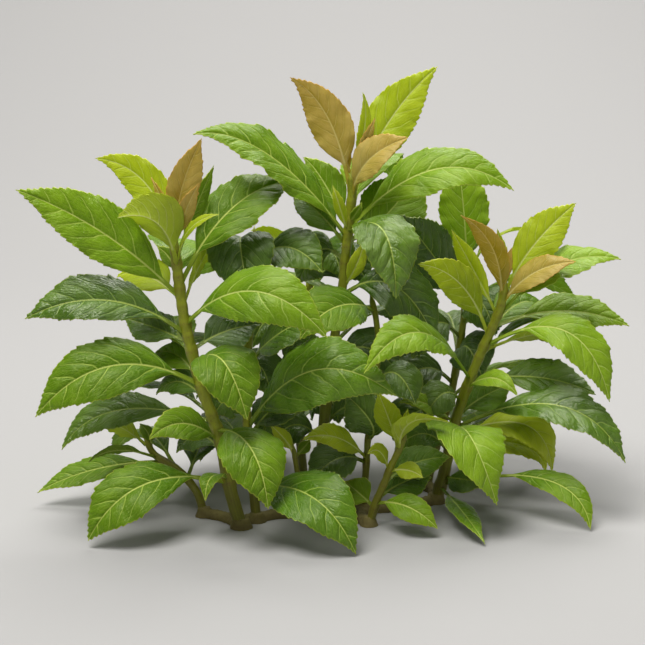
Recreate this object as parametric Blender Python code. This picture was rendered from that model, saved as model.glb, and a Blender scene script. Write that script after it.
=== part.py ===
"""Hygrophila: a leafy clump of upright stems on a creeping rootstock, cut off flat where it grew.

The tables below are in millimetres and the model is built in metres, +Z up. The origin is on the flat cut
under the middle of the rootstock. -Y is the side that the clump is seen from.
"""

from typing import NamedTuple

import bmesh
import bpy
import numpy as np
from mathutils import Vector

MM = 0.001
GAP = 0.3  # between two pieces that touch

# Rootstock
ROOT_HEIGHT = 4.0
CROWN_RADIUS = 9.0  # the middle knob, at the cut
KNOB_SPREAD = 2.2  # how much wider than its stem a knob is at the cut
KNOB_RIM = 0.7  # and at its top
RUNNER_RADIUS = 3.1
RUNNER_AXIS_HEIGHT = 0.3
RUNNER_BOW = 2.5  # sideways bow of a runner, halfway
RUNNER_INSET = 1.3  # how far from the middle of a knob a runner ends, inside it
KNOB_SIDES = 9
TUBE_SIDES = 8

# Stems
NODE_SWELL = 1.25  # a stem's radius at a leaf node, against the radius between nodes
LEAST_INTERNODE = 5.0  # nodes closer than this are one
LONG_INTERNODE = 9.0  # a stem narrows again between nodes farther apart than this
BUD_LENGTH = 3.0

# Leaves
KEEL = 0.10  # how far the margins rise above the midrib, against the half width
WIDEST = 0.48  # where most blades are widest, from the base to the tip
POINTED = 0.22  # how much narrower the last stretch of a blade is than its first
RIB_DEPTH = 1.3  # midrib thickness at the base of a blade
TIP_DEPTH = 0.7
STALK_HALF_WIDTH = 0.45
STALK_PER_WIDTH = 0.02  # what each mm of blade width adds to that
SUNK = 0.35  # where a fused leaf starts inside its stem, against the stem's radius
BLADE_STATIONS = (0.12, 0.29, 0.48, 0.67, 0.85)
FUSED_STATIONS = (0.16, 0.48, 0.80)
BUD_STATIONS = (0.30, 0.66)
BUD_LEAF_WIDTH = 8.0  # leaves narrower than this have the fewest stations


class Tone(NamedTuple):
    """The colour and gloss of one age of leaf, or of a stem."""

    name: str
    colour: tuple[float, float, float]
    roughness: float


GREEN = Tone("mature_leaf", (0.135, 0.235, 0.035), 0.42)
DARK = Tone("old_leaf", (0.075, 0.150, 0.030), 0.45)
DEEP = Tone("low_leaf", (0.095, 0.190, 0.035), 0.40)
FRESH = Tone("fresh_leaf", (0.215, 0.340, 0.070), 0.38)
LIME = Tone("young_leaf", (0.330, 0.420, 0.060), 0.42)
BRONZE = Tone("tip_leaf", (0.330, 0.240, 0.085), 0.45)
STALK = Tone("stem", (0.150, 0.175, 0.050), 0.55)
ROOT = Tone("rootstock", (0.170, 0.120, 0.060), 0.75)


class Stem(NamedTuple):
    """A stem: its radius at the foot and at the tip, and the points that its axis passes."""

    foot_radius: float
    tip_radius: float
    points: tuple[tuple[float, float, float], ...]


class Leaf(NamedTuple):
    """A leaf: the height of its node on the stem, and the places of the middle and the tip of its arc."""

    node_height: float
    middle: tuple[float, float, float]
    tip: tuple[float, float, float]
    width: float
    stalk: float  # length from the stem's axis to the blade
    face: tuple[float, float, float]  # where the upper side looks
    tone: Tone
    fused: bool = False  # a small or hidden leaf is one solid with its stem
    widest: float = WIDEST


STEMS = {
    "left": Stem(2.6, 1.9, (
        (-33, -24, 0), (-37, -24, 15), (-42, -23, 39), (-49, -22, 60), (-55, -21, 86), (-58, -20, 110),
        (-59, -20, 118),
    )),
    "centre": Stem(2.4, 1.7, (
        (-2, 5, 0), (0, 6, 28), (3, 6, 59), (8, 6, 92), (10, 5, 113), (12, 5, 132), (12, 5, 141),
    )),
    "right": Stem(2.5, 1.7, (
        (48, 10, 0), (52, 10, 15), (56, 8, 37), (63, 6, 59), (69, 5, 74), (73, 4, 85), (75, 3, 95),
    )),
    "mid_left": Stem(1.9, 1.5, (
        (-27, -16, 0), (-29, -14, 21), (-31, -8, 41), (-31, 0, 64), (-29, 6, 88), (-28, 9, 109),
        (-28, 9, 116),
    )),
    "back_left": Stem(1.7, 1.3, ((-49, -9, 0), (-52, -6, 9), (-60, 0, 17), (-70, 5, 22), (-74, 6, 28))),
    "back_right": Stem(1.9, 1.4, (
        (45, 30, 0), (50, 32, 21), (56, 34, 43), (60, 35, 69), (62, 35, 89), (63, 35, 99),
    )),
    "back_centre": Stem(1.9, 1.4, (
        (-8, 36, 0), (-10, 40, 23), (-11, 43, 50), (-9, 44, 74), (-5, 44, 90), (-4, 44, 98),
    )),
    "front": Stem(1.7, 1.2, (
        (19, -21, 0), (22, -23, 11), (25, -24, 19), (28, -25, 27), (31, -26, 34), (33, -26, 40),
    )),
    "tuft": Stem(1.1, 0.9, ((-11, -10, 0), (-10, -13, 15), (-11, -15, 25), (-12, -16, 32))),
    "inner": Stem(1.4, 1.1, (
        (17, -4, 0), (18, -5, 19), (19, -4, 35), (21, -2, 52), (23, 0, 68), (22, 2, 81), (20, 3, 90),
    )),
}

# The runners of the rootstock, each from one stem's foot to the next.
RUNNERS = (
    ("centre", "tuft"), ("tuft", "mid_left"), ("mid_left", "left"), ("left", "back_left"),
    ("centre", "back_centre"), ("centre", "inner"), ("inner", "front"), ("inner", "right"),
    ("right", "back_right"),
)

# Each stem's leaves from the ground up, and last the ones in its shade.
LEAVES = {
    "left": (
        Leaf(19, (-70, -43, 24), (-92, -50, 3), 23, 15, (-0.1, -0.75, 0.65), GREEN, widest=0.56),
        Leaf(21, (-44, -40, 26), (-46, -46, 18), 9, 4, (-0.3, -0.8, 0.5), GREEN, fused=True),
        Leaf(36, (-55, -36, 47), (-68, -42, 42), 14, 5, (0, -0.85, 0.55), GREEN, fused=True),
        Leaf(41, (-28, -47, 40), (-21, -56, 18), 26, 9, (0.3, -0.8, 0.5), GREEN),
        Leaf(44, (-83, -16, 47), (-106, -18, 31), 18, 16, (0, -0.6, 0.8), DARK, widest=0.50),
        Leaf(47, (-70, 6, 52), (-99, 20, 40), 20, 12, (-0.2, 0.3, 0.9), DARK),
        Leaf(59, (-83, -35, 70), (-113, -38, 50), 25, 12, (-0.1, -0.85, 0.55), GREEN),
        Leaf(60, (-60, -6, 68), (-71, 2, 65), 16, 8, (-0.2, -0.5, 0.85), GREEN, fused=True),
        Leaf(65, (-64, 10, 78), (-74, 40, 66), 22, 12, (-0.2, 0.5, 0.85), GREEN),
        Leaf(67, (-39, -42, 74), (-29, -50, 52), 26, 7, (0.3, -0.8, 0.5), GREEN),
        Leaf(73, (-40, -9, 78), (-25, -3, 80), 19, 8, (0.1, -0.7, 0.7), DARK, fused=True),
        Leaf(76, (-68, -6, 79), (-82, 4, 81), 17, 8, (-0.1, -0.6, 0.8), DARK, fused=True),
        Leaf(79, (-84, -29, 95), (-117, -31, 88), 20, 11, (0, -0.8, 0.6), DARK, widest=0.52),
        Leaf(84, (-26, -46, 102), (2, -52, 85), 24, 10, (0.1, -0.85, 0.5), FRESH, widest=0.50),
        Leaf(91, (-48, -6, 109), (-38, 8, 120), 15, 7, (-0.6, 0.55, 0.5), LIME, fused=True),
        Leaf(94, (-85, -27, 121), (-119, -30, 139), 23, 10, (-0.1, -0.85, 0.5), GREEN, widest=0.47),
        Leaf(94, (-72, -6, 101), (-84, 0, 99), 18, 8, (-0.1, -0.6, 0.75), LIME, fused=True),
        Leaf(98, (-61, 8, 112), (-64, 36, 103), 21, 11, (0.1, 0.5, 0.85), FRESH),
        Leaf(99, (-36, -12, 129), (-11, 5, 138), 25, 14, (-0.2, -0.7, 0.7), GREEN),
        Leaf(103, (-61, -17, 110), (-66, -14, 114), 6, 3, (-0.4, -0.6, 0.6), GREEN, fused=True),
        Leaf(106, (-64, -31, 126), (-79, -36, 129), 19, 10, (-0.35, 0.5, 0.8), LIME, widest=0.45),
        Leaf(108, (-52, -29, 123), (-40, -34, 130), 7, 6, (-0.1, -0.5, 0.8), LIME, fused=True),
        Leaf(109, (-69, -14, 138), (-90, -12, 149), 15, 10, (-0.4, -0.7, 0.6), LIME, widest=0.45),
        Leaf(109, (-50, -15, 130), (-43, -11, 146), 9, 8, (0.75, -0.6, 0.2), GREEN, fused=True),
        Leaf(113, (-56, -21, 135), (-47, -22, 158), 13, 6, (0.35, -0.9, 0.2), BRONZE),
        Leaf(115, (-53, -25, 131), (-48, -27, 141), 7, 5, (0.3, -0.8, 0.4), BRONZE, fused=True),
        Leaf(115, (-62, -25, 132), (-67, -24, 143), 4, 5, (-0.3, -0.8, 0.4), BRONZE, fused=True),
        Leaf(30, (-50, -14, 36), (-60, -12, 28), 16, 6, (-0.1, -0.7, 0.7), DARK, fused=True),
        Leaf(52, (-58, -12, 58), (-68, -10, 52), 14, 6, (-0.2, -0.6, 0.8), DEEP, fused=True),
    ),
    "centre": (
        Leaf(44, (20, 26, 56), (24, 56, 44), 24, 11, (0.1, 0.6, 0.8), DARK),
        Leaf(70, (24, 30, 80), (34, 58, 66), 24, 11, (0.1, 0.6, 0.8), DARK),
        Leaf(84, (-10, 28, 94), (-32, 46, 88), 20, 10, (-0.2, 0.5, 0.85), GREEN, fused=True),
        Leaf(90, (29, -3, 96), (47, -2, 71), 25, 8, (0.25, -0.75, 0.6), DARK),
        Leaf(92, (14, 2, 104), (17, 4, 113), 7, 5, (0.3, -0.8, 0.4), LIME, fused=True),
        Leaf(104, (-1, 12, 108), (-10, 16, 93), 22, 7, (-0.1, -0.7, 0.7), DARK, fused=True),
        Leaf(111, (-2, 6, 125), (-12, 14, 131), 15, 7, (-0.1, -0.6, 0.8), DEEP, fused=True),
        Leaf(113, (27, 20, 122), (40, 28, 140), 28, 8, (0.15, -0.8, 0.55), GREEN),
        Leaf(115, (-22, -6, 150), (-51, -16, 159), 26, 11, (-0.1, -0.5, 0.87), GREEN, widest=0.45),
        Leaf(116, (7, -1, 128), (4, -2, 137), 5, 4, (-0.3, -0.8, 0.4), LIME, fused=True),
        Leaf(117, (24, -18, 121), (29, -26, 95), 25, 7, (0.3, -0.8, 0.5), DARK),
        Leaf(118, (45, 0, 143), (77, -4, 135), 22, 13, (0.05, -0.7, 0.7), FRESH, widest=0.45),
        Leaf(120, (14, 0, 126), (16, -1, 130), 4, 2, (0.3, -0.8, 0.5), GREEN, fused=True),
        Leaf(121, (20, 34, 142), (30, 62, 132), 25, 12, (0.1, 0.6, 0.8), FRESH),
        Leaf(129, (3, 2, 162), (-13, -2, 180), 17, 8, (-0.3, -0.9, 0.35), BRONZE, widest=0.41),
        Leaf(131, (27, 12, 161), (47, 18, 183), 20, 9, (0.3, -0.8, 0.5), LIME, widest=0.44),
        Leaf(131, (18, -5, 147), (34, -10, 157), 15, 6, (-0.3, -0.8, 0.5), BRONZE, fused=True),
        Leaf(138, (17, 3, 160), (16, -1, 174), 5, 5, (0.2, -0.9, 0.3), LIME, fused=True),
        Leaf(138, (17, -1, 153), (21, -2, 164), 5, 5, (0.3, -0.8, 0.4), BRONZE, fused=True),
        Leaf(138, (9, 6, 150), (9, 8, 158), 5, 4, (-0.2, -0.9, 0.3), BRONZE, fused=True),
        Leaf(28, (-12, 2, 36), (-22, -2, 26), 18, 6, (-0.1, -0.75, 0.6), DARK, fused=True),
        Leaf(34, (14, 12, 42), (27, 8, 32), 18, 6, (0.1, -0.75, 0.6), DARK, fused=True),
        Leaf(60, (-7, 5, 69), (-13, 3, 60), 17, 7, (-0.1, -0.75, 0.6), DARK, fused=True),
        Leaf(62, (18, 11, 67), (32, 9, 56), 20, 7, (0.2, -0.75, 0.6), DARK, fused=True),
        Leaf(118, (0, 13, 137), (-8, 17, 146), 15, 6, (-0.2, -0.8, 0.5), FRESH, fused=True),
    ),
    "right": (
        Leaf(7, (58, -33, 7), (64, -48, 1), 11, 14, (0.2, -0.7, 0.6), DEEP, fused=True),
        Leaf(8, (92, -14, 17), (108, -30, 1), 13, 31, (0.15, -0.6, 0.8), GREEN, widest=0.54),
        Leaf(11, (59, 0, 13), (69, -6, 13), 15, 4, (0.1, -0.7, 0.7), DEEP, fused=True),
        Leaf(24, (74, 28, 32), (98, 44, 14), 21, 10, (0.2, 0.5, 0.85), DARK, fused=True),
        Leaf(26, (84, 10, 25), (94, 7, 13), 16, 9, (0.1, -0.4, 0.9), LIME, fused=True),
        Leaf(29, (84, 3, 36), (96, 1, 16), 19, 12, (0.25, -0.6, 0.8), LIME),
        Leaf(31, (59, -31, 40), (69, -42, 15), 31, 8, (0.3, -0.8, 0.5), FRESH, widest=0.44),
        Leaf(33, (96, -12, 48), (123, -20, 26), 22, 18, (0.22, -0.55, 0.8), DARK, widest=0.50),
        Leaf(35, (42, -4, 47), (31, -8, 48), 9, 6, (-0.1, -0.7, 0.7), GREEN, fused=True),
        Leaf(37, (66, 14, 44), (80, 20, 49), 17, 6, (0.1, -0.6, 0.8), DEEP, fused=True),
        Leaf(51, (70, -10, 59), (79, -16, 53), 9, 5, (0.1, -0.8, 0.6), FRESH, fused=True),
        Leaf(53, (89, 8, 55), (114, 6, 48), 20, 14, (0.05, -0.65, 0.75), DARK),
        Leaf(55, (38, -28, 82), (16, -44, 69), 20, 16, (-0.1, -0.7, 0.7), FRESH),
        Leaf(64, (92, 26, 76), (118, 40, 62), 20, 11, (0.2, 0.4, 0.9), GREEN),
        Leaf(67, (94, 12, 73), (108, 14, 63), 15, 10, (0.1, 0.65, 0.75), LIME, fused=True),
        Leaf(69, (98, -12, 79), (116, -18, 51), 20, 18, (0.3, -0.75, 0.6), FRESH),
        Leaf(73, (56, -6, 97), (38, -15, 107), 15, 10, (-0.3, -0.75, 0.6), LIME, fused=True),
        Leaf(77, (100, 14, 82), (128, 12, 76), 19, 14, (0.05, -0.6, 0.8), GREEN),
        Leaf(80, (95, 2, 103), (122, 2, 106), 19, 12, (0, -0.45, 0.9), FRESH),
        Leaf(82, (61, 2, 103), (52, -4, 119), 9, 7, (-0.5, -0.7, 0.4), LIME, fused=True),
        Leaf(86, (85, -4, 101), (102, -9, 107), 12, 6, (-0.1, -0.75, 0.65), BRONZE, fused=True),
        Leaf(87, (69, -5, 111), (55, -11, 126), 11, 6, (-0.5, -0.75, 0.4), BRONZE, fused=True),
        Leaf(88, (85, 6, 109), (104, 10, 128), 17, 7, (0.3, -0.75, 0.6), LIME),
        Leaf(92, (75, 1, 103), (77, 0, 111), 5, 3, (0.2, -0.8, 0.3), BRONZE, fused=True),
        Leaf(92, (74, 8, 105), (72, 12, 117), 5, 4, (-0.2, -0.8, 0.3), LIME, fused=True),
        Leaf(22, (42, 3, 32), (30, 0, 25), 16, 5, (-0.1, -0.8, 0.5), DEEP, fused=True),
        Leaf(45, (50, 0, 50), (42, -4, 40), 16, 5, (-0.1, -0.75, 0.6), DARK, fused=True),
        Leaf(72, (84, 22, 84), (99, 34, 74), 20, 8, (0.1, -0.5, 0.85), DEEP, fused=True),
    ),
    "mid_left": (
        Leaf(14, (-4, -50, 21), (13, -60, 1), 28, 12, (0.25, -0.75, 0.6), DEEP),
        Leaf(24, (-40, 14, 34), (-48, 44, 28), 20, 9, (-0.1, 0.5, 0.85), DARK, fused=True),
        Leaf(34, (-16, -18, 51), (-3, -14, 49), 20, 8, (0.1, -0.6, 0.8), DARK, fused=True),
        Leaf(38, (-3, -38, 69), (29, -36, 58), 29, 12, (0, -0.82, 0.58), DEEP),
        Leaf(55, (-46, 26, 68), (-68, 50, 54), 23, 12, (-0.2, 0.5, 0.85), DARK),
        Leaf(62, (-15, -14, 80), (2, -19, 85), 22, 9, (0.1, -0.6, 0.8), DARK, fused=True),
        Leaf(96, (-44, 32, 106), (-62, 54, 92), 23, 12, (-0.3, 0.6, 0.75), GREEN),
        Leaf(104, (-33, -8, 116), (-29, -18, 93), 27, 7, (-0.1, -0.85, 0.5), DARK, fused=True),
        Leaf(104, (-14, -4, 112), (0, -12, 103), 22, 6, (0.05, -0.7, 0.7), DARK, fused=True),
        Leaf(38, (-37, -8, 50), (-45, -9, 42), 18, 5, (-0.1, -0.8, 0.5), DARK, fused=True),
        Leaf(52, (-26, -2, 62), (-21, -6, 50), 18, 5, (0.1, -0.75, 0.6), DARK, fused=True),
    ),
    "back_left": (
        Leaf(14, (-52, 22, 22), (-54, 44, 8), 16, 7, (0, 0.5, 0.85), DARK, fused=True),
        Leaf(18, (-78, 30, 26), (-94, 52, 8), 17, 8, (-0.2, 0.4, 0.9), GREEN, fused=True),
        Leaf(20, (-96, 8, 15), (-120, 4, 6), 15, 10, (0, -0.5, 0.87), GREEN, fused=True),
        Leaf(21, (-85, 0, 26), (-97, -5, 22), 11, 8, (0, 0.6, 0.8), GREEN, fused=True),
        Leaf(22, (-83, 8, 33), (-98, 12, 35), 17, 9, (-0.2, 0.7, 0.7), LIME, fused=True),
        Leaf(24, (-73, 8, 30), (-77, 12, 34), 7, 3, (0.5, -0.6, 0.6), GREEN, fused=True),
    ),
    "back_right": (
        Leaf(22, (66, 56, 28), (72, 84, 8), 20, 9, (0.1, 0.6, 0.8), DEEP, fused=True),
        Leaf(40, (84, 52, 50), (108, 66, 32), 24, 12, (0.3, 0.5, 0.8), GREEN),
        Leaf(58, (56, 66, 70), (52, 96, 54), 25, 12, (0, 0.7, 0.7), DARK),
        Leaf(78, (86, 48, 90), (112, 56, 78), 22, 11, (0.3, 0.5, 0.8), FRESH),
        Leaf(82, (46, 17, 105), (32, 3, 124), 24, 9, (0.1, -0.85, 0.5), DARK, fused=True),
        Leaf(90, (60, 32, 118), (57, 34, 144), 21, 8, (0, -0.95, 0.3), FRESH),
        Leaf(92, (62, 60, 108), (66, 84, 100), 21, 10, (0.1, 0.7, 0.7), GREEN, fused=True),
        Leaf(96, (74, 44, 108), (90, 54, 110), 14, 7, (0.5, 0.5, 0.6), LIME, fused=True),
        Leaf(97, (62, 42, 112), (58, 52, 120), 11, 6, (-0.2, 0.7, 0.6), BRONZE, fused=True),
        Leaf(30, (42, 26, 36), (30, 20, 24), 20, 7, (-0.1, -0.75, 0.6), DARK, fused=True),
        Leaf(46, (43, 24, 55), (29, 16, 45), 24, 8, (-0.1, -0.75, 0.6), DARK, fused=True),
        Leaf(66, (48, 26, 74), (38, 20, 60), 20, 8, (-0.1, -0.8, 0.6), DARK, fused=True),
        Leaf(52, (61, 27, 64), (68, 23, 51), 22, 7, (0.1, -0.8, 0.6), DARK, fused=True),
        Leaf(72, (66, 26, 84), (73, 20, 70), 22, 7, (0.1, -0.8, 0.6), DARK, fused=True),
    ),
    "back_centre": (
        Leaf(20, (-14, 64, 26), (-24, 92, 8), 20, 9, (0, 0.6, 0.8), DARK, fused=True),
        Leaf(38, (-32, 60, 46), (-58, 78, 28), 25, 12, (-0.3, 0.6, 0.75), DARK),
        Leaf(38, (14, 62, 48), (38, 84, 32), 25, 12, (0.3, 0.6, 0.75), GREEN),
        Leaf(60, (-12, 74, 74), (-16, 104, 56), 26, 12, (0, 0.75, 0.65), GREEN),
        Leaf(82, (-34, 62, 94), (-60, 78, 84), 25, 12, (-0.3, 0.6, 0.75), FRESH),
        Leaf(82, (12, 62, 96), (38, 80, 86), 25, 12, (0.3, 0.6, 0.75), GREEN),
        Leaf(86, (-8, 66, 99), (-14, 90, 92), 20, 9, (0, 0.7, 0.7), LIME, fused=True),
        Leaf(92, (-18, 48, 105), (-31, 52, 110), 14, 7, (-0.3, 0.6, 0.7), LIME, fused=True),
        Leaf(84, (8, 42, 98), (20, 34, 89), 18, 8, (0.2, -0.8, 0.5), DARK, fused=True),
        Leaf(90, (3, 34, 104), (8, 26, 93), 20, 8, (0.1, -0.8, 0.5), DARK, fused=True),
        Leaf(30, (-20, 28, 36), (-26, 18, 26), 18, 8, (-0.1, -0.8, 0.5), DARK, fused=True),
        Leaf(30, (1, 28, 42), (7, 22, 31), 24, 8, (0.1, -0.8, 0.5), DARK, fused=True),
        Leaf(70, (-22, 30, 76), (-30, 22, 64), 20, 8, (-0.1, -0.8, 0.5), DARK, fused=True),
    ),
    "front": (
        Leaf(8, (15, -16, 12), (9, -12, 16), 13, 4, (-0.2, -0.8, 0.5), GREEN, fused=True),
        Leaf(10, (34, -34, 12), (46, -38, 4), 12, 5, (0.1, -0.8, 0.6), GREEN, fused=True),
        Leaf(12, (34, -16, 17), (45, -10, 17), 16, 4, (0.1, -0.7, 0.7), DEEP, fused=True),
        Leaf(18, (37, -14, 24), (53, -8, 25), 15, 5, (0.1, -0.7, 0.7), DEEP, fused=True),
        Leaf(24, (23, -28, 33), (18, -31, 33), 7, 3, (0, -0.7, 0.7), LIME, fused=True),
        Leaf(24, (34, -30, 26), (40, -34, 24), 8, 3, (0, -0.8, 0.6), LIME, fused=True),
        Leaf(33, (27, -28, 45), (22, -29, 58), 11, 5, (-0.4, -0.8, 0.4), LIME, fused=True),
        Leaf(33, (35, -33, 47), (50, -38, 48), 14, 4, (-0.1, 0.5, 0.8), LIME, fused=True),
        Leaf(38, (33, -28, 46), (34, -29, 51), 4, 2, (0.3, -0.8, 0.3), LIME, fused=True),
    ),
    "tuft": (
        Leaf(27, (-8, -13, 30), (-5, -10, 33), 5, 2, (0.2, -0.8, 0.4), GREEN, fused=True),
        Leaf(28, (-15, -18, 35), (-21, -20, 42), 6, 3, (-0.2, -0.8, 0.4), LIME, fused=True),
    ),
    "inner": (
        Leaf(22, (6, -14, 26), (-5, -20, 17), 19, 5, (-0.1, -0.7, 0.7), DARK, fused=True),
        Leaf(24, (5, -20, 37), (-8, -28, 38), 12, 5, (0, -0.75, 0.65), LIME, fused=True),
        Leaf(31, (20, -10, 40), (9, -8, 52), 19, 4, (-0.2, -0.9, 0.4), DARK, fused=True),
        Leaf(85, (5, -18, 90), (-9, -28, 79), 24, 5, (-0.1, -0.8, 0.6), GREEN, fused=True),
        Leaf(54, (30, -6, 60), (38, -12, 48), 16, 5, (0.2, -0.8, 0.5), DARK, fused=True),
    ),
}


def unit(vector):
    """The vector, or each row of an array of vectors, at length 1."""
    return vector / np.linalg.norm(vector, axis=-1, keepdims=True)


def smooth_path(points, steps=16):
    """A smooth curve through the points, with the given number of steps between two of them."""
    places = [np.array(point, float) for point in points]
    places = [2 * places[0] - places[1]] + places + [2 * places[-1] - places[-2]]
    t = np.linspace(0, 1, steps, endpoint=False)[:, None]
    curve = []
    for a, b, c, d in zip(places, places[1:], places[2:], places[3:]):
        square = 2 * a - 5 * b + 4 * c - d
        cube = 3 * b - 3 * c + d - a
        curve.append(b + 0.5 * ((c - a) * t + square * t**2 + cube * t**3))
    return np.vstack(curve + [places[-2]])


def at_height(curve, height):
    """The point of a rising curve at a height."""
    return np.array([np.interp(height, curve[:, 2], curve[:, axis]) for axis in range(3)])


def stem_radius(stem, height):
    """A stem's radius between two nodes, at a height."""
    return np.interp(height, (0, stem.points[-1][2]), (stem.foot_radius, stem.tip_radius))


def material(tone):
    """The tone's Principled material, made the first time that it is asked for."""
    found = bpy.data.materials.get(tone.name)
    if found:
        return found
    made = bpy.data.materials.new(tone.name)
    made.use_nodes = True
    shader = made.node_tree.nodes["Principled BSDF"]
    shader.inputs["Base Color"].default_value = (*tone.colour, 1)
    shader.inputs["Roughness"].default_value = tone.roughness
    shader.inputs["Metallic"].default_value = 0.0
    made.diffuse_color = (*tone.colour, 1)
    return made


def solid(name, rings, tone, pointed=False, origin=(0, 0, 0)):
    """A closed object skinned over rings of points, the last of which is one point if it is pointed."""
    origin = np.array(origin, float)
    mesh = bmesh.new()
    loops = [[mesh.verts.new(Vector((point - origin) * MM)) for point in ring] for ring in rings]
    for lower, upper in zip(loops, loops[1:]):
        if len(upper) == 1:
            for i, vertex in enumerate(lower):
                mesh.faces.new((vertex, lower[(i + 1) % len(lower)], upper[0]))
            continue
        for i in range(len(lower)):
            j = (i + 1) % len(lower)
            mesh.faces.new((lower[i], lower[j], upper[j], upper[i]))
    mesh.faces.new(loops[0])
    if not pointed:
        mesh.faces.new(loops[-1])
    bmesh.ops.recalc_face_normals(mesh, faces=mesh.faces)
    data = bpy.data.meshes.new(name)
    mesh.to_mesh(data)
    mesh.free()
    data.materials.append(material(tone))
    data.shade_smooth()
    data.set_sharp_from_angle(angle=np.radians(50))
    made = bpy.data.objects.new(name, data)
    made.location = Vector(origin * MM)
    bpy.context.scene.collection.objects.link(made)
    return made


def circle(centre, along, radius, sides=TUBE_SIDES):
    """A ring of points round a centre, square to a direction."""
    first = unit(np.cross((0, 1, 0), along))
    second = np.cross(along, first)
    turns = np.arange(sides) * 2 * np.pi / sides
    return [centre + radius * (np.cos(turn) * first + np.sin(turn) * second) for turn in turns]


def helper(tool):
    """Marks an object that is only there to be joined to or cut from another."""
    tool.hide_render = True
    tool.display_type = "WIRE"
    return tool


def boolean(target, tool, operation, solver="EXACT"):
    """Joins or cuts the target with a helper."""
    change = target.modifiers.new(tool.name, "BOOLEAN")
    change.operation = operation
    change.solver = solver
    change.object = helper(tool)


def parent_to(child, parent):
    """Parents the child and keeps its place in the world."""
    child.parent = parent
    child.matrix_parent_inverse = parent.matrix_basis.inverted()


def make_knob(name, foot, low_radius, top_radius):
    """A low cone of the rootstock, which runs a little below the cut."""
    below = -1.0
    up = np.array((0.0, 0.0, 1.0))
    low = circle(np.array((foot[0], foot[1], below)), up, low_radius, KNOB_SIDES)
    top = circle(np.array((foot[0], foot[1], ROOT_HEIGHT)), up, top_radius, KNOB_SIDES)
    return solid(name, [low, top], ROOT)


def make_runner(start, end):
    """One arm of the rootstock, bowed sideways between the feet of two stems."""
    a = np.array((*STEMS[start].points[0][:2], RUNNER_AXIS_HEIGHT), float)
    b = np.array((*STEMS[end].points[0][:2], RUNNER_AXIS_HEIGHT), float)
    sideways = unit(np.cross(b - a, (0, 0, 1)))
    inset = unit(b - a) * RUNNER_INSET
    a, b = a + inset, b - inset
    rings = []
    for part in (0.0, 0.5, 1.0):
        centre = a + (b - a) * part + sideways * RUNNER_BOW * np.sin(np.pi * part)
        slope = unit(b - a + sideways * RUNNER_BOW * np.pi * np.cos(np.pi * part))
        rings.append(circle(centre, slope, RUNNER_RADIUS))
    return solid(f"runner_{start}_{end}", rings, ROOT)


def make_rootstock():
    """The creeping stem base: a crown, a knob under each stem and the runners between them, cut off flat."""
    centre = STEMS["centre"]
    root = make_knob("rootstock", centre.points[0], CROWN_RADIUS, centre.foot_radius + KNOB_RIM)
    for name, stem in STEMS.items():
        if name == "centre":
            continue
        low_radius = stem.foot_radius + KNOB_SPREAD
        top_radius = stem.foot_radius + KNOB_RIM
        knob = make_knob(f"knob_{name}", stem.points[0], low_radius, top_radius)
        boolean(root, knob, "UNION", "MANIFOLD")
    for start, end in RUNNERS:
        boolean(root, make_runner(start, end), "UNION", "MANIFOLD")
    side, depth = 300.0, 20.0
    corners = [(-side, -side), (side, -side), (side, side), (-side, side)]
    below = [[np.array((x, y, z)) for x, y in corners] for z in (-depth, 0.0)]
    boolean(root, solid("ground_cutter", below, ROOT), "DIFFERENCE", "MANIFOLD")
    return root


def ring_heights(leaves, foot, top):
    """(height, is a node) up a stem: a ring at each node and one between two nodes that are far apart."""
    nodes = [foot]
    for height in sorted(leaf.node_height for leaf in leaves):
        if height - nodes[-1] > LEAST_INTERNODE and top - height > 2:
            nodes.append(height)
    heights = [(foot, False)]
    for below, node in zip(nodes, nodes[1:]):
        if node - below > LONG_INTERNODE:
            heights.append(((below + node) / 2, False))
        heights.append((node, True))
    return heights + [((nodes[-1] + top) / 2, False)]


def make_stem(name, stem, curve):
    """A stem from just above its knob to its bud, swollen at its nodes."""
    foot = ROOT_HEIGHT + GAP
    top = stem.points[-1][2]
    slopes = unit(np.gradient(curve, axis=0))
    rings = []
    for height, is_node in ring_heights(LEAVES[name], foot, top):
        slope = at_height(np.column_stack((slopes[:, :2], curve[:, 2])), height)[:2]
        slope = unit(np.array((*slope, np.sqrt(max(0.0, 1 - slope @ slope)))))
        radius = stem_radius(stem, height) * (NODE_SWELL if is_node else 1)
        if height == foot:
            slope = np.array((0.0, 0.0, 1.0))
        rings.append(circle(at_height(curve, height), slope, radius))
    rings.append([curve[-1] + slopes[-1] * BUD_LENGTH])
    return solid(f"stem_{name}", rings, STALK, pointed=True, origin=at_height(curve, foot))


def midrib(base, leaf, steps=60):
    """(points, lengths, sides, faces) down the midrib, turned with no more twist than the arc needs."""
    middle, tip = np.array(leaf.middle, float), np.array(leaf.tip, float)
    pull = 2 * middle - (base + tip) / 2
    t = np.linspace(0, 1, steps)[:, None]
    points = (1 - t) ** 2 * base + 2 * t * (1 - t) * pull + t**2 * tip
    along = unit((1 - t) * (pull - base) + t * (tip - pull))
    lengths = np.concatenate(([0], np.cumsum(np.linalg.norm(np.diff(points, axis=0), axis=1))))
    faces = np.zeros_like(points)
    seen = int(np.argmin(abs(lengths - 0.55 * lengths[-1])))
    faces[seen] = unit(leaf.face - np.dot(leaf.face, along[seen]) * along[seen])
    for i in range(seen + 1, steps):
        faces[i] = unit(faces[i - 1] - (faces[i - 1] @ along[i]) * along[i])
    for i in range(seen - 1, -1, -1):
        faces[i] = unit(faces[i + 1] - (faces[i + 1] @ along[i]) * along[i])
    return points, lengths, np.cross(along, faces), faces


def blade_half_width(leaf, part):
    """Half the blade's width at a part of its length, wedge-shaped at the base and drawn out at the tip."""
    power = np.log(0.5) / np.log(leaf.widest)
    drawn_out = 0.85 + 0.35 * (2 * part - 1) ** 2
    return leaf.width / 2 * np.sin(np.pi * part**power) ** drawn_out * (1 - POINTED * part**5)


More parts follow.
